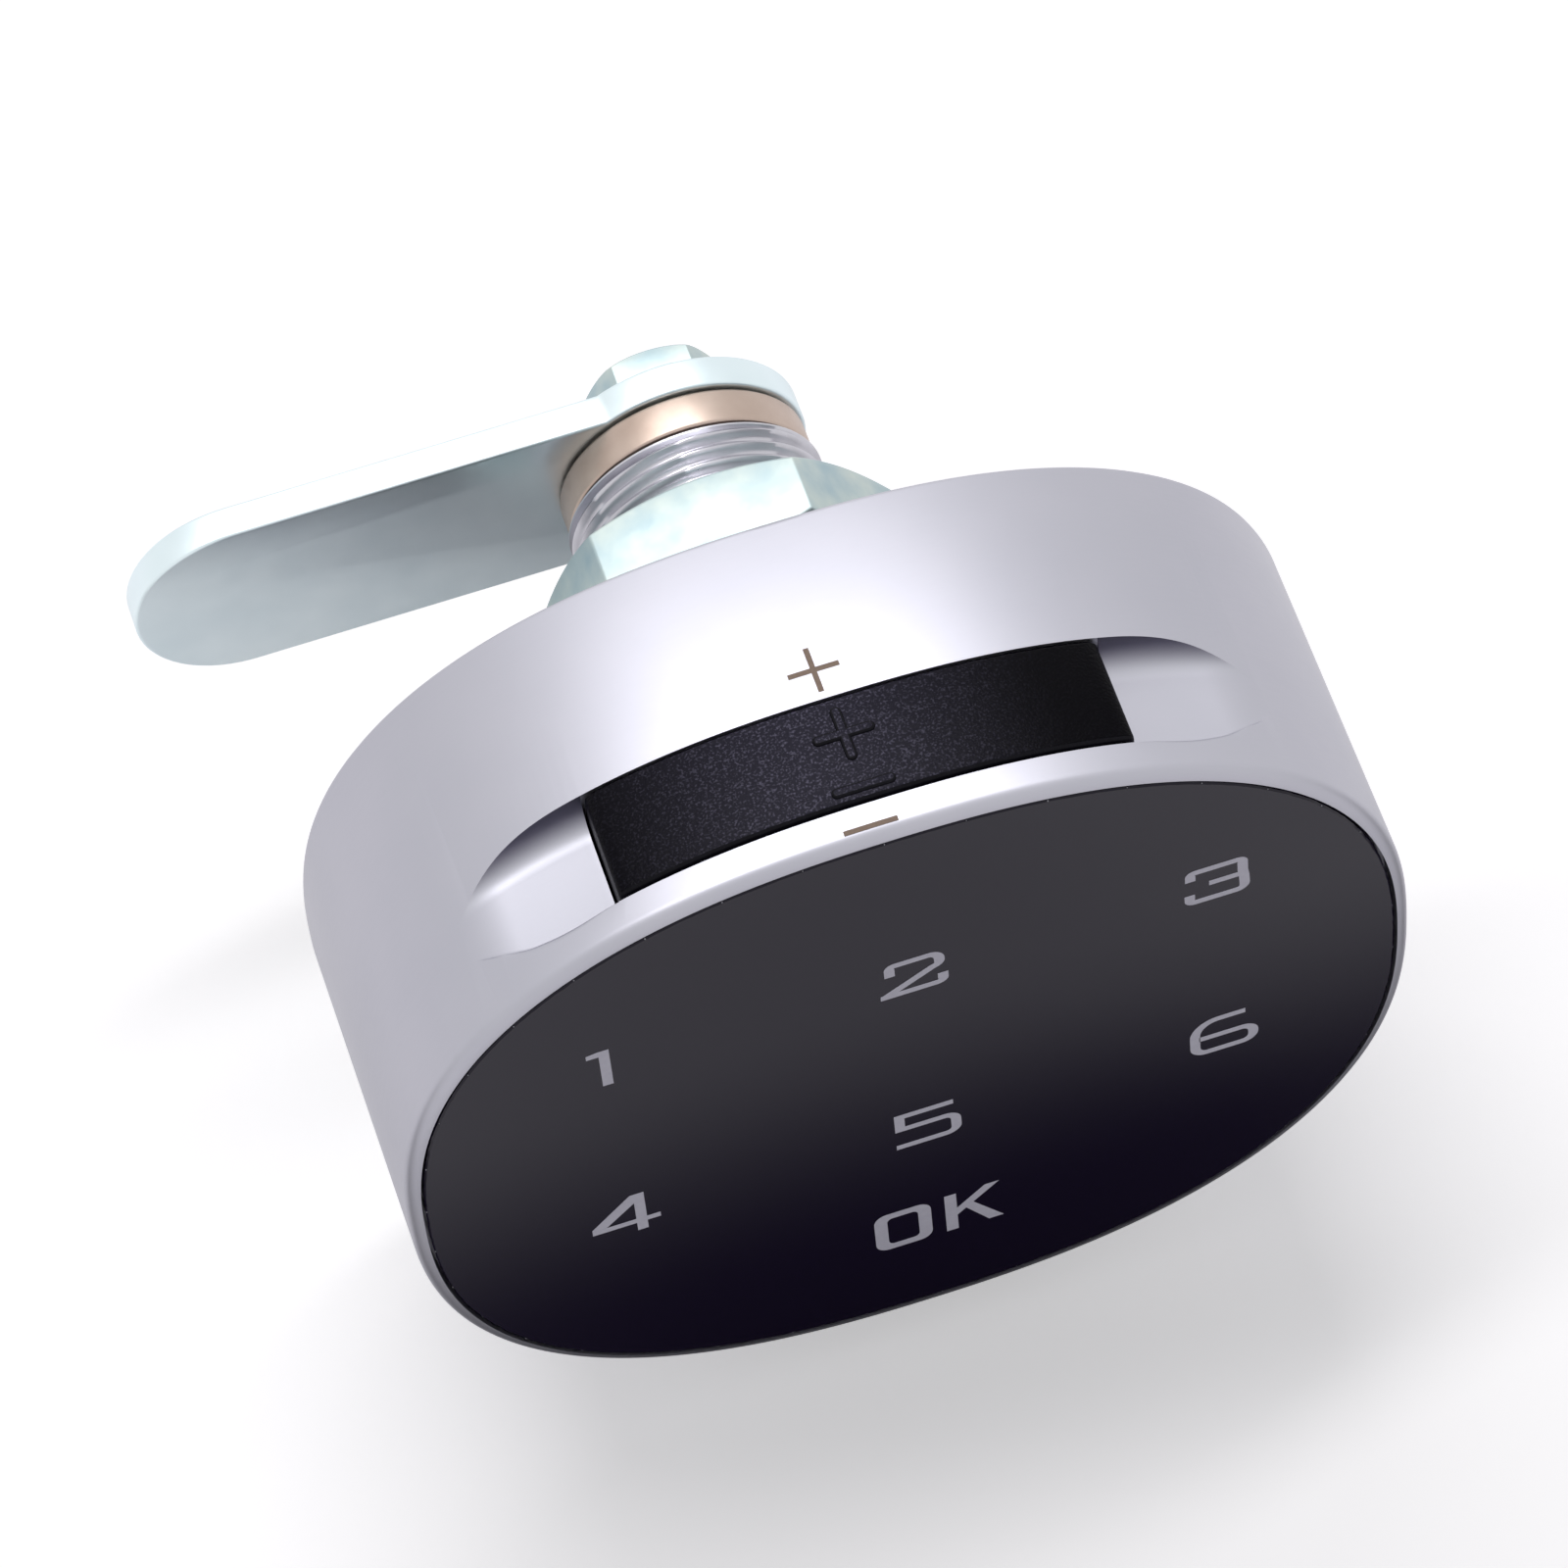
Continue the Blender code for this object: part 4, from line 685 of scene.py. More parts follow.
FOUR = [
    area((0.50, -2.1), (1.14, -2.1), (1.14, 2.1), (0.50, 2.1)),
    area((0.30, 2.1), (0.60, 2.1), (0.60, 1.22), (-1.28, -0.74), (-2.15, -0.74), (-2.15, -0.60)),
    area((-2.15, -1.22), (1.95, -1.22), (1.95, -0.74), (-2.15, -0.74)),
]
FIVE = [
    area((-1.86, 1.2), (1.72, 1.2), (1.72, 1.68), (-1.86, 1.68)),
    area((-1.86, -0.22), (-1.24, -0.22), (-1.24, 1.6), (-1.86, 1.6)),
    pen(
        (-1.5, 0.02), (0.6, 0.02), *arc(1.15, -0.58, 0.66, 0.60, 90, 0, 7),
        *arc(1.15, -1.35, 0.66, 0.60, 0, -90, 7), (-1.86, -1.95),
    ),
]
SIX = [
    pen(
        (1.45, 1.48), (0.2, 1.48), *arc(-0.15, -0.02, 1.5, 1.50, 95, 180, 10),
        *arc(-0.95, -1.25, 0.70, 0.70, 180, 270, 7), *arc(1.2, -1.25, 0.70, 0.70, -90, 0, 7),
        *arc(1.2, -1.0, 0.70, 0.65, 0, 90, 7), (-1.4, -0.35),
    ),
]
OUTER = (
    arc(-0.95, 1.25, 0.8, 0.85, 180, 90, 6) + arc(0.95, 1.25, 0.8, 0.85, 90, 0, 6)
    + arc(0.95, -1.25, 0.8, 0.85, 0, -90, 6) + arc(-0.95, -1.25, 0.8, 0.85, -90, -180, 6)
)
INNER = (
    arc(-0.60, 1.10, 0.35, 0.40, 180, 90, 6) + arc(0.60, 1.10, 0.35, 0.40, 90, 0, 6)
    + arc(0.60, -1.10, 0.35, 0.40, 0, -90, 6) + arc(-0.60, -1.10, 0.35, 0.40, -90, -180, 6)
)
LETTER_O = [
    [
        [OUTER[i], OUTER[(i + 1) % len(OUTER)], INNER[(i + 1) % len(INNER)], INNER[i]]
        for i in range(len(OUTER))
    ]
]
LETTER_K = [
    area((-1.65, -2.1), (-0.92, -2.1), (-0.92, 2.1), (-1.65, 2.1)),
    area((-1.0, -0.55), (-1.0, 0.28), (0.86, 2.1), (1.76, 2.1)),
    area((-0.58, 0.42), (0.96, -2.1), (1.88, -2.1), (0.04, 0.58)),
]
# The print sits a little right of the glass's middle
PRINT_SHIFT, KEY_PITCH = 0.38, 18.05
COLUMNS = (PRINT_SHIFT - KEY_PITCH, PRINT_SHIFT, PRINT_SHIFT + KEY_PITCH)
ROWS = (11.66, -5.30, -16.75)
O_SHIFT, K_SHIFT = -1.95, 2.3
figure("legend_1", ONE, (COLUMNS[0], ROWS[0]))
figure("legend_2", TWO, (COLUMNS[1], ROWS[0]))
figure("legend_3", THREE, (COLUMNS[2], ROWS[0]))
figure("legend_4", FOUR, (COLUMNS[0], ROWS[1]))
figure("legend_5", FIVE, (COLUMNS[1], ROWS[1]))
figure("legend_6", SIX, (COLUMNS[2], ROWS[1]))
figure("legend_o", LETTER_O, (COLUMNS[1] + O_SHIFT, ROWS[2]))
figure("legend_k", LETTER_K, (COLUMNS[1] + K_SHIFT, ROWS[2]))


# Battery drawer: a cap that carries on the head's outline, and the tray under it
CAP_FRONT, CAP_BACK, CAP_BOTTOM = -19.9, -13.1, 20.6
CAP_CORNER, CAP_SHOULDER = 0.45, 0.12
CAP_FRONT_EDGE, CAP_BACK_EDGE = 0.34, 0.2
CAP_STEPS = 72
TRAY_SIDE, TRAY_FRONT, TRAY_BACK, TRAY_BOTTOM, TRAY_TOP = 0.1, -19.85, -14.2, -3.45, 20.9
CELL_AXIS = (0.0, 10.4)
CELL_POCKET, CELL_FRONT, CELL_BACK = 12.35, -25.0, -14.7
CONTACT_WINDOW, CONTACT_FRONT, CONTACT_BACK = 7.35, -15.0, -10.0


def cap_section(inset):
    """The cap's outline in X and Z: upright ends, softened shoulders and the head's own curve on top."""
    half = DRAWER_HALF - inset
    shoulder = top_of_head(half) - inset
    end = [(-half, CAP_BOTTOM), (-half, shoulder - CAP_CORNER)]
    for i in range(1, 6):
        t = i / 6
        x = -half + CAP_CORNER * t * t
        z = shoulder - CAP_CORNER * (1 - t) ** 2 + CAP_SHOULDER * t * t
        end.append((x, z))
    low = -half + CAP_CORNER
    top = []
    for i in range(CAP_STEPS + 1):
        x = low + (half - CAP_CORNER - low) * i / CAP_STEPS
        top.append((x, top_of_head(x) - inset))
    return end + top + [(-x, z) for x, z in reversed(end)]


cap_levels = [(cap_section(inset), CAP_FRONT + along) for inset, along in quarter(CAP_FRONT_EDGE, 5)]
cap_levels += [
    (cap_section(inset), CAP_BACK - along) for inset, along in reversed(quarter(CAP_BACK_EDGE, 4))
]
drawer = stacked("drawer_moulding", cap_levels)
tray_half = DRAWER_HALF - TRAY_SIDE
carve(
    drawer,
    block("tray_blank", (-tray_half, tray_half), (TRAY_FRONT, TRAY_BACK), (TRAY_BOTTOM, TRAY_TOP)),
    "UNION",
)
for tool_name, reach, tool_front, tool_back, sides in (
    ("cell_pocket", CELL_POCKET, CELL_FRONT, CELL_BACK, 96),
    ("contact_window", CONTACT_WINDOW, CONTACT_FRONT, CONTACT_BACK, 72),
):
    profile = [(0, tool_front), (reach, tool_front), (reach, tool_back), (0, tool_back)]
    carve(drawer, turned(tool_name, profile, sides, CELL_AXIS))

# The raised plus and minus: their middle, length, stroke, places along Y and height. The plus's bars end
# at two heights, so that their tops share no plane.
MARK_SHIFT, MARK_LENGTH, MARK_STROKE = -0.45, 3.6, 0.66
PLUS_Y, MINUS_Y, MINUS_LENGTH = PANEL + 6.9, PANEL + 3.35, 3.7
MARK_FOOT, MARK_TOP, SECOND_TOP = 26.8, 27.150, 27.144


def moulded_bead(shape, length, stroke, y, top):
    """A raised bead with full-round ends and rounded flanks, sunk a little into the cap's top."""
    rise = [(-0.03, MARK_FOOT), (0.0, top - 0.13), (0.04, top - 0.06), (0.09, top - 0.02), (0.15, top)]
    half_x, half_y = length / 2, stroke / 2
    rings = []
    for inset, z in rise:
        radius = min(half_x, half_y) - inset
        ring = []
        for sign_x, sign_y, first in ((1, 1, 0), (-1, 1, 90), (-1, -1, 180), (1, -1, 270)):
            for i in range(7):
                a = math.radians(first + 90 * i / 6)
                ring.append(
                    shape.verts.new(
                        (
                            MARK_SHIFT + sign_x * (half_x - inset - radius) + radius * math.cos(a),
                            y + sign_y * (half_y - inset - radius) + radius * math.sin(a),
                            z,
                        )
                    )
                )
        rings.append(ring)
    walls(shape, rings)
    shape.faces.new(list(reversed(rings[0])))
    shape.faces.new(rings[-1])


shape = bmesh.new()
moulded_bead(shape, MARK_LENGTH, MARK_STROKE, PLUS_Y, MARK_TOP)
moulded_bead(shape, MARK_STROKE, MARK_LENGTH, PLUS_Y, SECOND_TOP)
moulded_bead(shape, MINUS_LENGTH, MARK_STROKE, MINUS_Y, MARK_TOP)
bmesh.ops.remove_doubles(shape, verts=shape.verts, dist=0.0001)
beads = dress(soften(from_shape("drawer_polarity_marks", shape), 50), smooth_abs_painted_shade)
beads.data.materials.append(spark_plastic)
# The marks' flanks take the darker copy as painted shade, their tops the drawer's own plastic
LOOKS_UP = 0.97
for polygon in beads.data.polygons:
    polygon.material_index = 1 if polygon.normal.z > LOOKS_UP else 0
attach(beads, "drawer")
dress(soften(drawer, 35), spark_plastic)
# The cap's front edge is rounded and smooth, and takes the darker copy, which paints it as a dark line of
# shade
drawer.data.materials.append(smooth_abs_painted_shade)
EDGE_LOOKS_FORWARDS = -0.25
for polygon in drawer.data.polygons:
    if polygon.normal.y < EDGE_LOOKS_FORWARDS and polygon.center.z > CAP_BOTTOM * MM:
        polygon.material_index = 1
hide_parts("battery_drawer")
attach(drawer, "drawer")

# Laser marks on the casting's top, draped on its curve a hair above it, each bar in six flat steps
LASER_SHIFT, LASER_LIFT, LASER_STEPS = -0.6, 0.012, 6


def laser_bar(shape, x, y):
    for i in range(LASER_STEPS):
        x0 = LASER_SHIFT + x[0] + (x[1] - x[0]) * i / LASER_STEPS
        x1 = LASER_SHIFT + x[0] + (x[1] - x[0]) * (i + 1) / LASER_STEPS
        z0, z1 = top_of_head(x0) + LASER_LIFT, top_of_head(x1) + LASER_LIFT
        corners = ((x0, y[0], z0), (x1, y[0], z1), (x1, y[1], z1), (x0, y[1], z0))
        shape.faces.new([shape.verts.new(c) for c in corners])


shape = bmesh.new()
laser_bar(shape, (-1.62, 1.34), (-11.16, -10.84))
laser_bar(shape, (-0.3, 0.02), (-12.48, -11.16))
laser_bar(shape, (-0.3, 0.02), (-10.84, -9.52))
laser_bar(shape, (-1.83, 1.27), (-21.76, -21.44))
laser_marks = from_shape("laser_polarity_marks", shape)
for polygon in laser_marks.data.polygons:
    if polygon.normal.z < 0:
        polygon.flip()
dress(laser_marks, laser_mark)
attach(laser_marks, "head")


# Trees of Geometry Nodes
def new_tree(name, inputs):
    tree = bpy.data.node_groups.new(name, "GeometryNodeTree")
    tree.interface.new_socket("Geometry", in_out="INPUT", socket_type="NodeSocketGeometry")
    for label, value in inputs.items():
        kind = "NodeSocketInt" if isinstance(value, int) else "NodeSocketFloat"
        socket = tree.interface.new_socket(label, in_out="INPUT", socket_type=kind)
        socket.default_value = value
    tree.interface.new_socket("Geometry", in_out="OUTPUT", socket_type="NodeSocketGeometry")
    start = tree.nodes.new("NodeGroupInput")
    return tree, start


def end_tree(tree, geometry, material):
    real = put(tree, "GeometryNodeRealizeInstances", {"Geometry": geometry})
    coated = put(
        tree, "GeometryNodeSetMaterial", {"Geometry": real.outputs["Geometry"], "Material": material}
    )
    out = tree.nodes.new("NodeGroupOutput")
    tree.links.new(coated.outputs["Geometry"], out.inputs["Geometry"])


def grown(name, tree, base, values):
    """The plain mesh that a tree makes from a base mesh."""
    obj = link(name, base)
    modifier = obj.modifiers.new("grow", "NODES")
    modifier.node_group = tree
    for item in tree.interface.items_tree:
        if item.in_out == "INPUT" and item.name in values:
            modifier[item.identifier] = values[item.name]
    return settle(obj)


# Thread: the tree sinks the blank's surface in a groove along a helix. The groove is full deep a little
# after its start and ends short of the barrel's end, and nothing inside the core's radius moves.
THREAD = {
    "Pitch": 1.0 * MM, "Depth": 0.5 * MM, "Start": 1.0 * MM, "Full": 1.8 * MM, "End": 19.15 * MM,
    "Core": 7.0 * MM,
}
# Where a side of the groove starts and ends, on a wave from 0 at the crest to 0.5 at the root
CREST, ROOT = 0.06, 0.44
tree, given = new_tree("cut_thread", THREAD)
here = put(tree, "GeometryNodeInputPosition").outputs["Position"]
split = put(tree, "ShaderNodeSeparateXYZ", {"Vector": here})
angle = put(tree, "ShaderNodeMath", {0: split.outputs["Z"], 1: split.outputs["X"]}, operation="ARCTAN2")
turns = put(tree, "ShaderNodeMath", {0: angle.outputs["Value"], 1: 2 * math.pi}, operation="DIVIDE")
along = put(tree, "ShaderNodeMath", {0: split.outputs["Y"], 1: given.outputs["Pitch"]}, operation="DIVIDE")
phase = put(tree, "ShaderNodeMath", {0: along.outputs["Value"], 1: turns.outputs["Value"]}, operation="ADD")
wave = put(tree, "ShaderNodeMath", {0: phase.outputs["Value"], 1: 0.5}, operation="PINGPONG")
groove = put(
    tree, "ShaderNodeMapRange",
    {
        "Value": wave.outputs["Value"], "From Min": CREST, "From Max": ROOT, "To Min": 0.0,
        "To Max": given.outputs["Depth"],
    },
)
soft_start = put(
    tree, "ShaderNodeMapRange",
    {"Value": split.outputs["Y"], "From Min": given.outputs["Start"], "From Max": given.outputs["Full"]},
)
before = put(tree, "ShaderNodeMath", {0: split.outputs["Y"], 1: given.outputs["End"]}, operation="LESS_THAN")
lasting = put(
    tree, "ShaderNodeMath",
    {0: soft_start.outputs["Result"], 1: before.outputs["Value"]},
    operation="MULTIPLY",
)
sink = put(
    tree, "ShaderNodeMath", {0: groove.outputs["Result"], 1: lasting.outputs["Value"]}, operation="MULTIPLY"
)
off_axis = put(tree, "ShaderNodeCombineXYZ", {"X": split.outputs["X"], "Y": 0.0, "Z": split.outputs["Z"]})
radius = put(tree, "ShaderNodeVectorMath", {0: off_axis.outputs["Vector"]}, operation="LENGTH")
outer = put(
    tree, "ShaderNodeMath", {0: radius.outputs["Value"], 1: given.outputs["Core"]}, operation="GREATER_THAN"
)
outward = put(tree, "ShaderNodeVectorMath", {0: off_axis.outputs["Vector"]}, operation="NORMALIZE")
pull = put(
    tree, "ShaderNodeMath", {0: sink.outputs["Value"], 1: outer.outputs["Value"]}, operation="MULTIPLY"
)
inwards = put(tree, "ShaderNodeMath", {0: pull.outputs["Value"], 1: -1.0}, operation="MULTIPLY")
shift = put(
    tree, "ShaderNodeVectorMath",
    {0: outward.outputs["Vector"], "Scale": inwards.outputs["Value"]},
    operation="SCALE",
)
cut_surface = put(
    tree, "GeometryNodeSetPosition",
    {"Geometry": given.outputs["Geometry"], "Offset": shift.outputs["Vector"]},
)
end_tree(tree, cut_surface.outputs["Geometry"], thread_zinc)

# Barrel: turned blank with rings close enough to carry the thread, then the flat and the stop's notch
BORE, BARREL_RADIUS, BARREL_FRONT, BARREL_END = 5.3, 8.0, -8.2, 19.5
THREAD_RADIUS, THREAD_END, THREAD_STEP, THREAD_RINGS = 7.95, 19.3, 0.125, 150
END_CHAMFER_RADIUS = 7.35
SEAT_RADIUS, SEAT_EASED, SEAT_BACK, SEAT_FRONT = 19.5, 19.2, -1.1, -2.9
FLAT_HEIGHT = -6.9
rings = [(BORE, BARREL_END), (END_CHAMFER_RADIUS, BARREL_END)]
rings += [(THREAD_RADIUS, THREAD_END - THREAD_STEP * i) for i in range(THREAD_RINGS)]
rings += [
    (BARREL_RADIUS, 0.2), (BARREL_RADIUS, SEAT_BACK), (SEAT_EASED, SEAT_BACK), (SEAT_RADIUS, -1.4),
    (SEAT_RADIUS, -2.6), (SEAT_EASED, SEAT_FRONT), (BARREL_RADIUS, SEAT_FRONT),
    (BARREL_RADIUS, BARREL_FRONT), (BORE, BARREL_FRONT),
]
blank = turned("barrel_turned", rings, sides=96)
barrel = grown("barrel_turned", tree, blank.data, THREAD)
bpy.data.objects.remove(blank)
carve(barrel, block("flat", (-20, 20), (0.0, 30.0), (-20.0, FLAT_HEIGHT)))
notch = arc(0, 0, 9.0, 9.0, -150, -30, 24) + arc(0, 0, 5.0, 5.0, -30, -150, 24)
carve(barrel, stacked("stop_notch", [(notch, 18.0), (notch, 22.0)]))
dress(soften(barrel, 50), thread_zinc)
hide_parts("barrel")
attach(barrel, "door_side")

# Hex nut with chamfered corners and a countersunk thread
NUT_FRONT, NUT_BACK = 8.0, 14.1
NUT_CORNER = 22.0 / math.sqrt(3)
NUT_TURN = 8
NUT_BORE, NUT_MOUTH, NUT_FLARE, NUT_SINK = 8.1, 8.9, 9.3, 0.8
NUT_PAST = 0.4


def hexagon(corner, turn_degrees):
    return arc(0, 0, corner, corner, turn_degrees, turn_degrees + 300, 5)


nut_outline = hexagon(NUT_CORNER, NUT_TURN)
nut = stacked("hex_nut_forged", [(nut_outline, NUT_FRONT), (nut_outline, NUT_BACK)])
FACE = 10.65
DROP = (NUT_CORNER + NUT_PAST - FACE) * math.tan(math.radians(30))
chamfer = [
    (0, NUT_BACK + NUT_PAST), (FACE, NUT_BACK + NUT_PAST), (FACE, NUT_BACK),
    (NUT_CORNER + NUT_PAST, NUT_BACK - DROP), (NUT_CORNER + NUT_PAST, NUT_FRONT + DROP),
    (FACE, NUT_FRONT), (FACE, NUT_FRONT - NUT_PAST), (0, NUT_FRONT - NUT_PAST),
]
carve(nut, turned("nut_chamfer", chamfer, sides=144), "INTERSECT")
bore = [
    (0, NUT_BACK + 1), (NUT_FLARE, NUT_BACK + 1), (NUT_MOUTH, NUT_BACK), (NUT_BORE, NUT_BACK - NUT_SINK),
    (NUT_BORE, NUT_FRONT + NUT_SINK), (NUT_MOUTH, NUT_FRONT), (NUT_FLARE, NUT_FRONT - 1), (0, NUT_FRONT - 1),
]
carve(nut, turned("nut_bore", bore, sides=96))
round_edges(nut, 0.12, 25)
dress(soften(nut), blue_zinc)
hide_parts("hex_nut")
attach(nut, "door_side")


# Square-holed collar and cam
def squared_round(across, radius, count=64):
    """A square hole whose corners are cut off by a circle."""
    points = []
    for i in range(count):
        angle = 2 * math.pi * (i + 0.5) / count
        c, s = math.cos(angle), math.sin(angle)
        reach = min(radius, across / 2 / max(abs(c), abs(s)))
        points.append((reach * c, reach * s))
    return points


SQUARE = squared_round(8.6, 5.3)
COLLAR, COLLAR_BACK, COLLAR_RADIUS = 19.7, 22.15, 7.7
collar = turned(
    "stop_collar_pressed",
    [(0, COLLAR_BACK)]
    + [(COLLAR_RADIUS - out, COLLAR_BACK - along) for out, along in quarter(0.3, 4)]
    + [(COLLAR_RADIUS - out, COLLAR + along) for out, along in reversed(quarter(0.2, 3))]
    + [(0, COLLAR)],
    sides=128,
)
carve(collar, stacked("collar_square", [(SQUARE, COLLAR - 1), (SQUARE, COLLAR_BACK + 1)]))
LUG_OUTER, LUG_INNER, LUG_FRONT = 7.55, 5.45, 18.3
lug = arc(0, 0, LUG_OUTER, LUG_OUTER, -59, -31, 8) + arc(0, 0, LUG_INNER, LUG_INNER, -31, -59, 8)
carve(collar, stacked("stop_lug", [(lug, LUG_FRONT), (lug, COLLAR + 1.0)]), "UNION")
dress(soften(collar), bronze)
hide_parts("stop_collar")
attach(collar, "head")

CAM, CAM_BACK, CAM_EDGE = 22.3, 24.45, 0.22
HUB, HALF_WIDTH, REACH = 7.9, 6.75, 34.0


def cam_outline(inset):
    """A round hub and an arm with parallel sides and a full-round tip."""
    hub, half, reach = HUB - inset, HALF_WIDTH - inset, REACH - inset
    meet = math.asin(half / hub)
    swing = 2 * (math.pi - meet)
    points = []
    for i in range(81):
        a = -(math.pi - meet) + swing * i / 80
        points.append((hub * math.cos(a), hub * math.sin(a)))
    tip = reach - half
    for i in range(65):
        a = math.pi / 2 + math.pi * i / 64
        points.append((-tip + half * math.cos(a), half * math.sin(a)))
    return points


cam_levels = [(cam_outline(inset), CAM + along) for inset, along in quarter(CAM_EDGE, 4)]
cam_levels += [(cam_outline(inset), CAM_BACK - along) for inset, along in reversed(quarter(CAM_EDGE, 4))]
cam = stacked("cam_stamped", cam_levels)
carve(cam, stacked("cam_square", [(SQUARE, CAM - 1), (SQUARE, CAM_BACK + 1)]))
dress(soften(cam, 40), cam_zinc)
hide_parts("cam")
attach(cam, "head")

# Cam bolt: domed hex head, edges eased
HEAD_FRONT, HEAD_TOP = 26.05, 29.05
BOLT_CORNER = 8.2 / math.sqrt(3)
DOME_DROP, DOME_STEPS = 1.8, 16
SHANK_RADIUS, SHANK_END = 2.5, 12.4
bolt_outline = hexagon(BOLT_CORNER, 0)
bolt = stacked("cam_bolt_domed", [(bolt_outline, HEAD_FRONT), (bolt_outline, HEAD_TOP)])
dome = [(0, HEAD_TOP)]
for i in range(1, DOME_STEPS + 1):
    a = math.radians(90 * i / DOME_STEPS)
    dome.append(((BOLT_CORNER + LAP) * math.sin(a), HEAD_TOP - DOME_DROP * (1 - math.cos(a))))
dome += [(BOLT_CORNER + LAP, HEAD_FRONT - LAP), (0, HEAD_FRONT - LAP)]
carve(bolt, turned("bolt_dome", dome), "INTERSECT")
round_edges(bolt, 0.1, 30)
shank_top = HEAD_FRONT + 0.5
shank = [(0, shank_top), (SHANK_RADIUS, shank_top), (SHANK_RADIUS, SHANK_END), (0, SHANK_END)]
carve(bolt, turned("bolt_shank", shank, sides=48), "UNION")
dress(soften(bolt), blue_zinc)
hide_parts("cam_bolt")
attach(bolt, "head")

# Pieces whose CAD shape is right: the same mesh with its doubles merged and its curves shaded smooth
SMOOTHED = {
    "back_cover": ("back_cover_casting", "cover_zinc", "head"),
    "door_gasket": ("gasket_ring", "black_rubber", "door_side"),
    "washer": ("washer_pressed", "zinc_bright", "door_side"),
    "spring_washer": ("spring_washer_wound", "zinc_bright", "head"),
    "spindle": ("spindle_turned", "plunger_steel", "head"),
    "coin_cell": ("coin_cell_can", "cell_nickel", "drawer"),
}
SAME_PLACE, FLAT_FACING = 0.000001, 0.9999
for node_name, (piece_name, slot_name, body) in SMOOTHED.items():
    shape = bmesh.new()
    shape.from_mesh(nodes[node_name].data)
    bmesh.ops.remove_doubles(shape, verts=shape.verts, dist=SAME_PLACE)
    mesh = bpy.data.meshes.new(piece_name)
    shape.to_mesh(mesh)
    shape.free()
    piece = dress(link(piece_name, mesh), NODE_FINISH[node_name])
    soften(piece)
    for polygon in piece.data.polygons:
        polygon.use_smooth = abs(polygon.normal.y) < FLAT_FACING
    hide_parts(node_name)
    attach(piece, body)

# Glints: tiny pale chips along the middle of the glass plate's bevel, at 0.4 to 1.1 times their size and
# turned at random. They are painted glints.
GLINTS = {"Count": 38, "Seed": 11, "Size": 0.05 * MM}
FULL_TURN = 6.28
tree, given = new_tree("edge_glints", GLINTS)
edge_path = put(tree, "GeometryNodeMeshToCurve", {"Mesh": given.outputs["Geometry"]})
places = put(
    tree, "GeometryNodeCurveToPoints",
    {"Curve": edge_path.outputs["Curve"], "Count": given.outputs["Count"]},
    mode="COUNT",
)
tumble = put(
    tree, "FunctionNodeRandomValue",
    {"Min": (0.0, 0.0, 0.0), "Max": (FULL_TURN, FULL_TURN, FULL_TURN), "Seed": given.outputs["Seed"]},
    data_type="FLOAT_VECTOR",
)
spread = put(
    tree, "FunctionNodeRandomValue", {2: 0.4, 3: 1.1, "Seed": given.outputs["Seed"]}, data_type="FLOAT"
)
size = put(tree, "ShaderNodeMath", {0: spread.outputs[1], 1: given.outputs["Size"]}, operation="MULTIPLY")
chip = put(tree, "GeometryNodeMeshIcoSphere", {"Radius": 1.0, "Subdivisions": 1})
chips = put(
    tree, "GeometryNodeInstanceOnPoints",
    {
        "Points": places.outputs["Points"],
        "Instance": chip.outputs["Mesh"],
        "Rotation": tumble.outputs["Value"],
        "Scale": size.outputs["Value"],
    },
)
end_tree(tree, chips.outputs["Instances"], painted_glint_glass)
GLINT_INSET, GLINT_DEPTH = GLASS_INSET + 0.05, PANEL + 0.04
path_mesh = bpy.data.meshes.new("glass_edge_path")
path_points = [Vector((x, GLINT_DEPTH, z)) * MM for x, z in wavering(GLINT_INSET)]
path_mesh.from_pydata(path_points, [(i, (i + 1) % len(path_points)) for i in range(len(path_points))], [])
glints = grown("glass_edge_glints", tree, path_mesh, GLINTS)
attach(glints, "head")


def ray_kinds(tree):
    """Whether a ray is mirrored or passes through glass, and whether it is such a ray or the camera's own."""
    path = put(tree, "ShaderNodeLightPath")
    mirror = put(
        tree, "ShaderNodeMath",
        {0: path.outputs["Is Glossy Ray"], 1: path.outputs["Is Transmission Ray"]},
        operation="MAXIMUM",
    )
    seen = put(
        tree, "ShaderNodeMath",
        {0: path.outputs["Is Camera Ray"], 1: mirror.outputs["Value"]},
        operation="MAXIMUM",
    )
    return path, mirror.outputs["Value"], seen.outputs["Value"]


# Floor: pale and matt, low enough for the turned head to clear it
FLOOR_LEVEL, FLOOR_HALF = -30.3, 1500.0
FLOOR_GLOW = 0.42
# Shade close to the lock: how far it is looked for, and the openness at which the glow starts and is full
SHADE_REACH, SHADE_FULL, SHADE_NONE = 60 * MM, 0.66, 0.96
# Distances from the origin, in metres, at which the floor starts to run out into white and is all white
RUN_OUT_FROM, RUN_OUT_TO = 0.12, 0.50
# The painted shade at the lock's foot, seen in mirrored rays: where it starts and is full in front, and where
# it fades out behind
FOOT_FROM, FOOT_FULL, FOOT_FADES, FOOT_ENDS, FOOT_SHARE = -46 * MM, -29 * MM, -23 * MM, -18 * MM, 0.85
floor_shape = bmesh.new()
bmesh.ops.create_grid(floor_shape, x_segments=1, y_segments=1, size=FLOOR_HALF)
bmesh.ops.translate(floor_shape, vec=(0, 0, FLOOR_LEVEL), verts=floor_shape.verts)
floor = from_shape("floor", floor_shape)
floor_paint, tree, shader, place = surface(
    "pale_floor", Base_Color=hexed("#EFEDEE"), Roughness=0.9, Specular_IOR_Level=0.1
)
path, mirror, seen = ray_kinds(tree)
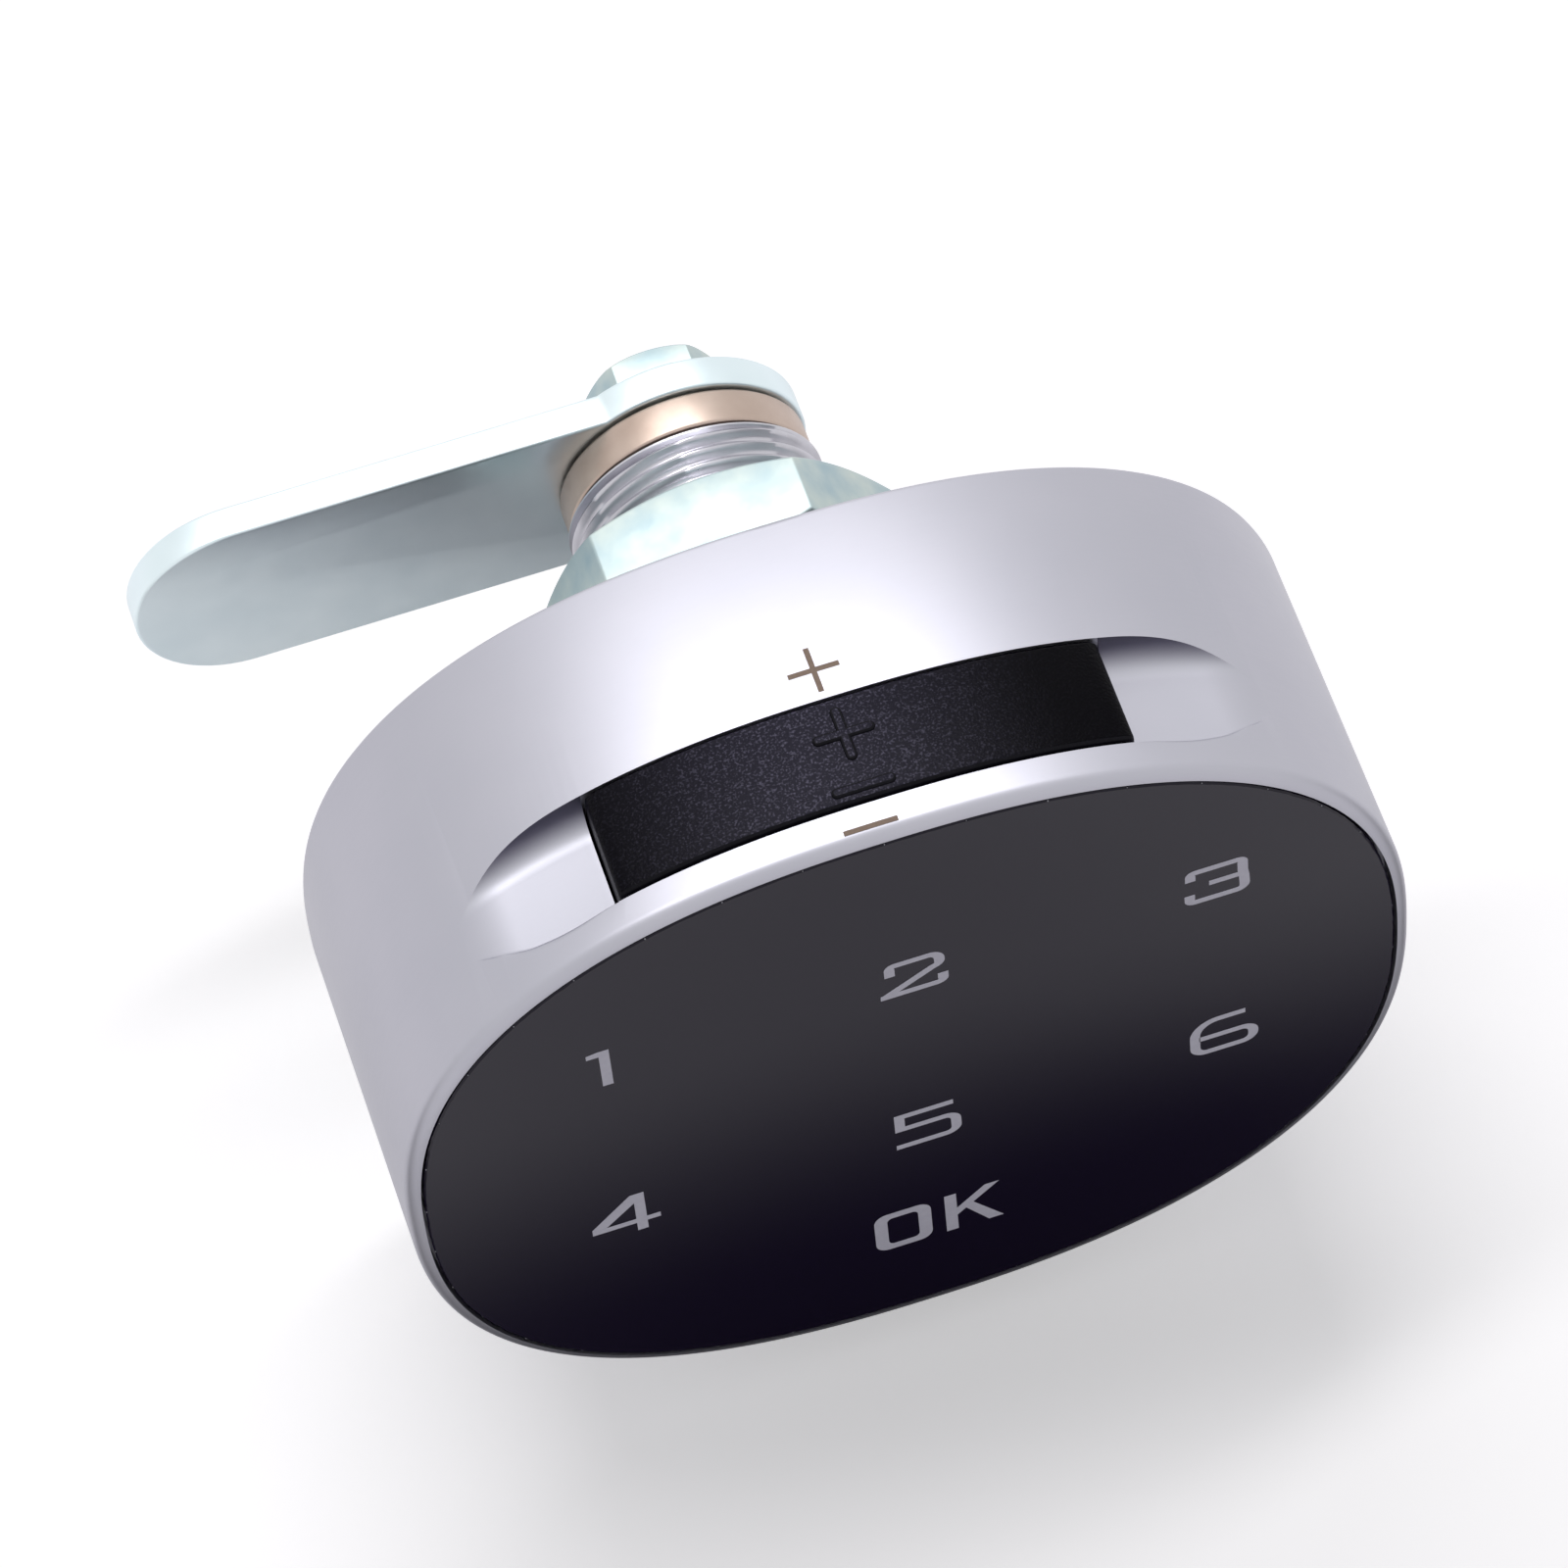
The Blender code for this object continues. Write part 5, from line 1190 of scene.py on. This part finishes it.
# The camera sees a glow on the floor. Mirrored rays see it too, less of it close to the lock, where the
# floor stands in the lock's own shade.
shade = put(tree, "ShaderNodeAmbientOcclusion", {"Distance": SHADE_REACH}, samples=4)
open_floor = put(
    tree, "ShaderNodeMapRange",
    {
        "Value": shade.outputs["AO"], "From Min": SHADE_FULL, "From Max": SHADE_NONE, "To Min": 0.0,
        "To Max": 1.0,
    },
)
mirrored = put(tree, "ShaderNodeMath", {0: mirror, 1: open_floor.outputs["Result"]}, operation="MULTIPLY")
share = put(
    tree, "ShaderNodeMath",
    {0: path.outputs["Is Camera Ray"], 1: mirrored.outputs["Value"]},
    operation="MAXIMUM",
)
glow_level = put(tree, "ShaderNodeMath", {0: share.outputs["Value"], 1: FLOOR_GLOW}, operation="MULTIPLY")
glow = put(tree, "ShaderNodeEmission", {"Color": hexed("#FFFFFF"), "Strength": glow_level.outputs["Value"]})
lit = put(tree, "ShaderNodeAddShader", {0: shader.outputs["BSDF"], 1: glow.outputs["Emission"]})
# Away from the lock the floor runs out into the white surround
from_lock = put(tree, "ShaderNodeVectorMath", {0: place}, operation="LENGTH")
far_off = put(
    tree, "ShaderNodeMapRange",
    {
        "Value": from_lock.outputs["Value"], "From Min": RUN_OUT_FROM, "From Max": RUN_OUT_TO, "To Min": 0.0,
        "To Max": 1.0,
    },
    interpolation_type="SMOOTHSTEP",
)
runs_out = put(tree, "ShaderNodeMath", {0: seen, 1: far_off.outputs["Result"]}, operation="MULTIPLY")
white_floor = put(tree, "ShaderNodeEmission", {"Color": hexed("#FFFFFF"), "Strength": 1.0})
# In the glass, the strip of floor at the lock's foot is painted nearly black: painted shade
depth = put(tree, "ShaderNodeSeparateXYZ", {"Vector": place}).outputs["Y"]
foot_front = put(
    tree, "ShaderNodeMapRange",
    {"Value": depth, "From Min": FOOT_FROM, "From Max": FOOT_FULL, "To Min": 0.0, "To Max": FOOT_SHARE},
    interpolation_type="SMOOTHSTEP",
)
foot_back = put(
    tree, "ShaderNodeMapRange",
    {"Value": depth, "From Min": FOOT_FADES, "From Max": FOOT_ENDS, "To Min": 1.0, "To Max": 0.0},
)
foot = put(
    tree, "ShaderNodeMath",
    {0: foot_front.outputs["Result"], 1: foot_back.outputs["Result"]},
    operation="MULTIPLY",
)
painted_shade_share = put(tree, "ShaderNodeMath", {0: foot.outputs["Value"], 1: mirror}, operation="MULTIPLY")
unlit = put(tree, "ShaderNodeEmission", {"Color": hexed("#000000"), "Strength": 0.0})
shaded = put(
    tree, "ShaderNodeMixShader",
    {"Fac": painted_shade_share.outputs["Value"], 1: lit.outputs["Shader"], 2: unlit.outputs["Emission"]},
)
fading = put(
    tree, "ShaderNodeMixShader",
    {"Fac": runs_out.outputs["Value"], 1: shaded.outputs["Shader"], 2: white_floor.outputs["Emission"]},
)
tree.links.new(fading.outputs["Shader"], tree.nodes["Material Output"].inputs["Surface"])
dress(floor, floor_paint)

# White surround, which lights the lock dimly
world = bpy.data.worlds.new("white_surround")
bpy.context.scene.world = world
world.use_nodes = True
tree = world.node_tree
tree.nodes.clear()
seen = ray_kinds(tree)[2]
dim = put(tree, "ShaderNodeBackground", {"Color": hexed("#F4F4FA"), "Strength": 0.28})
white = put(tree, "ShaderNodeBackground", {"Color": hexed("#FFFFFF"), "Strength": 1.0})
pick = put(
    tree, "ShaderNodeMixShader", {"Fac": seen, 1: dim.outputs["Background"], 2: white.outputs["Background"]}
)
put(tree, "ShaderNodeOutputWorld", {"Surface": pick.outputs["Shader"]})


def softbox(name, power, size, position):
    """A soft lamp of this power in watts, turned to the origin."""
    lamp = bpy.data.lights.new(name, "AREA")
    lamp.shape = "RECTANGLE"
    lamp.size, lamp.size_y = size
    lamp.energy = power
    turned_to_origin = Vector(position).to_track_quat("Z", "Y").to_matrix().to_4x4()
    link(name, lamp).matrix_world = Matrix.Translation(position) @ turned_to_origin


softbox("overhead_softbox", 2.7, (0.7, 0.1), (-0.05, 0.17, 0.80))
softbox("rear_strip", 0.9, (0.5, 0.12), (-0.01, 0.40, 0.66))

bpy.context.scene.view_settings.view_transform = "Standard"
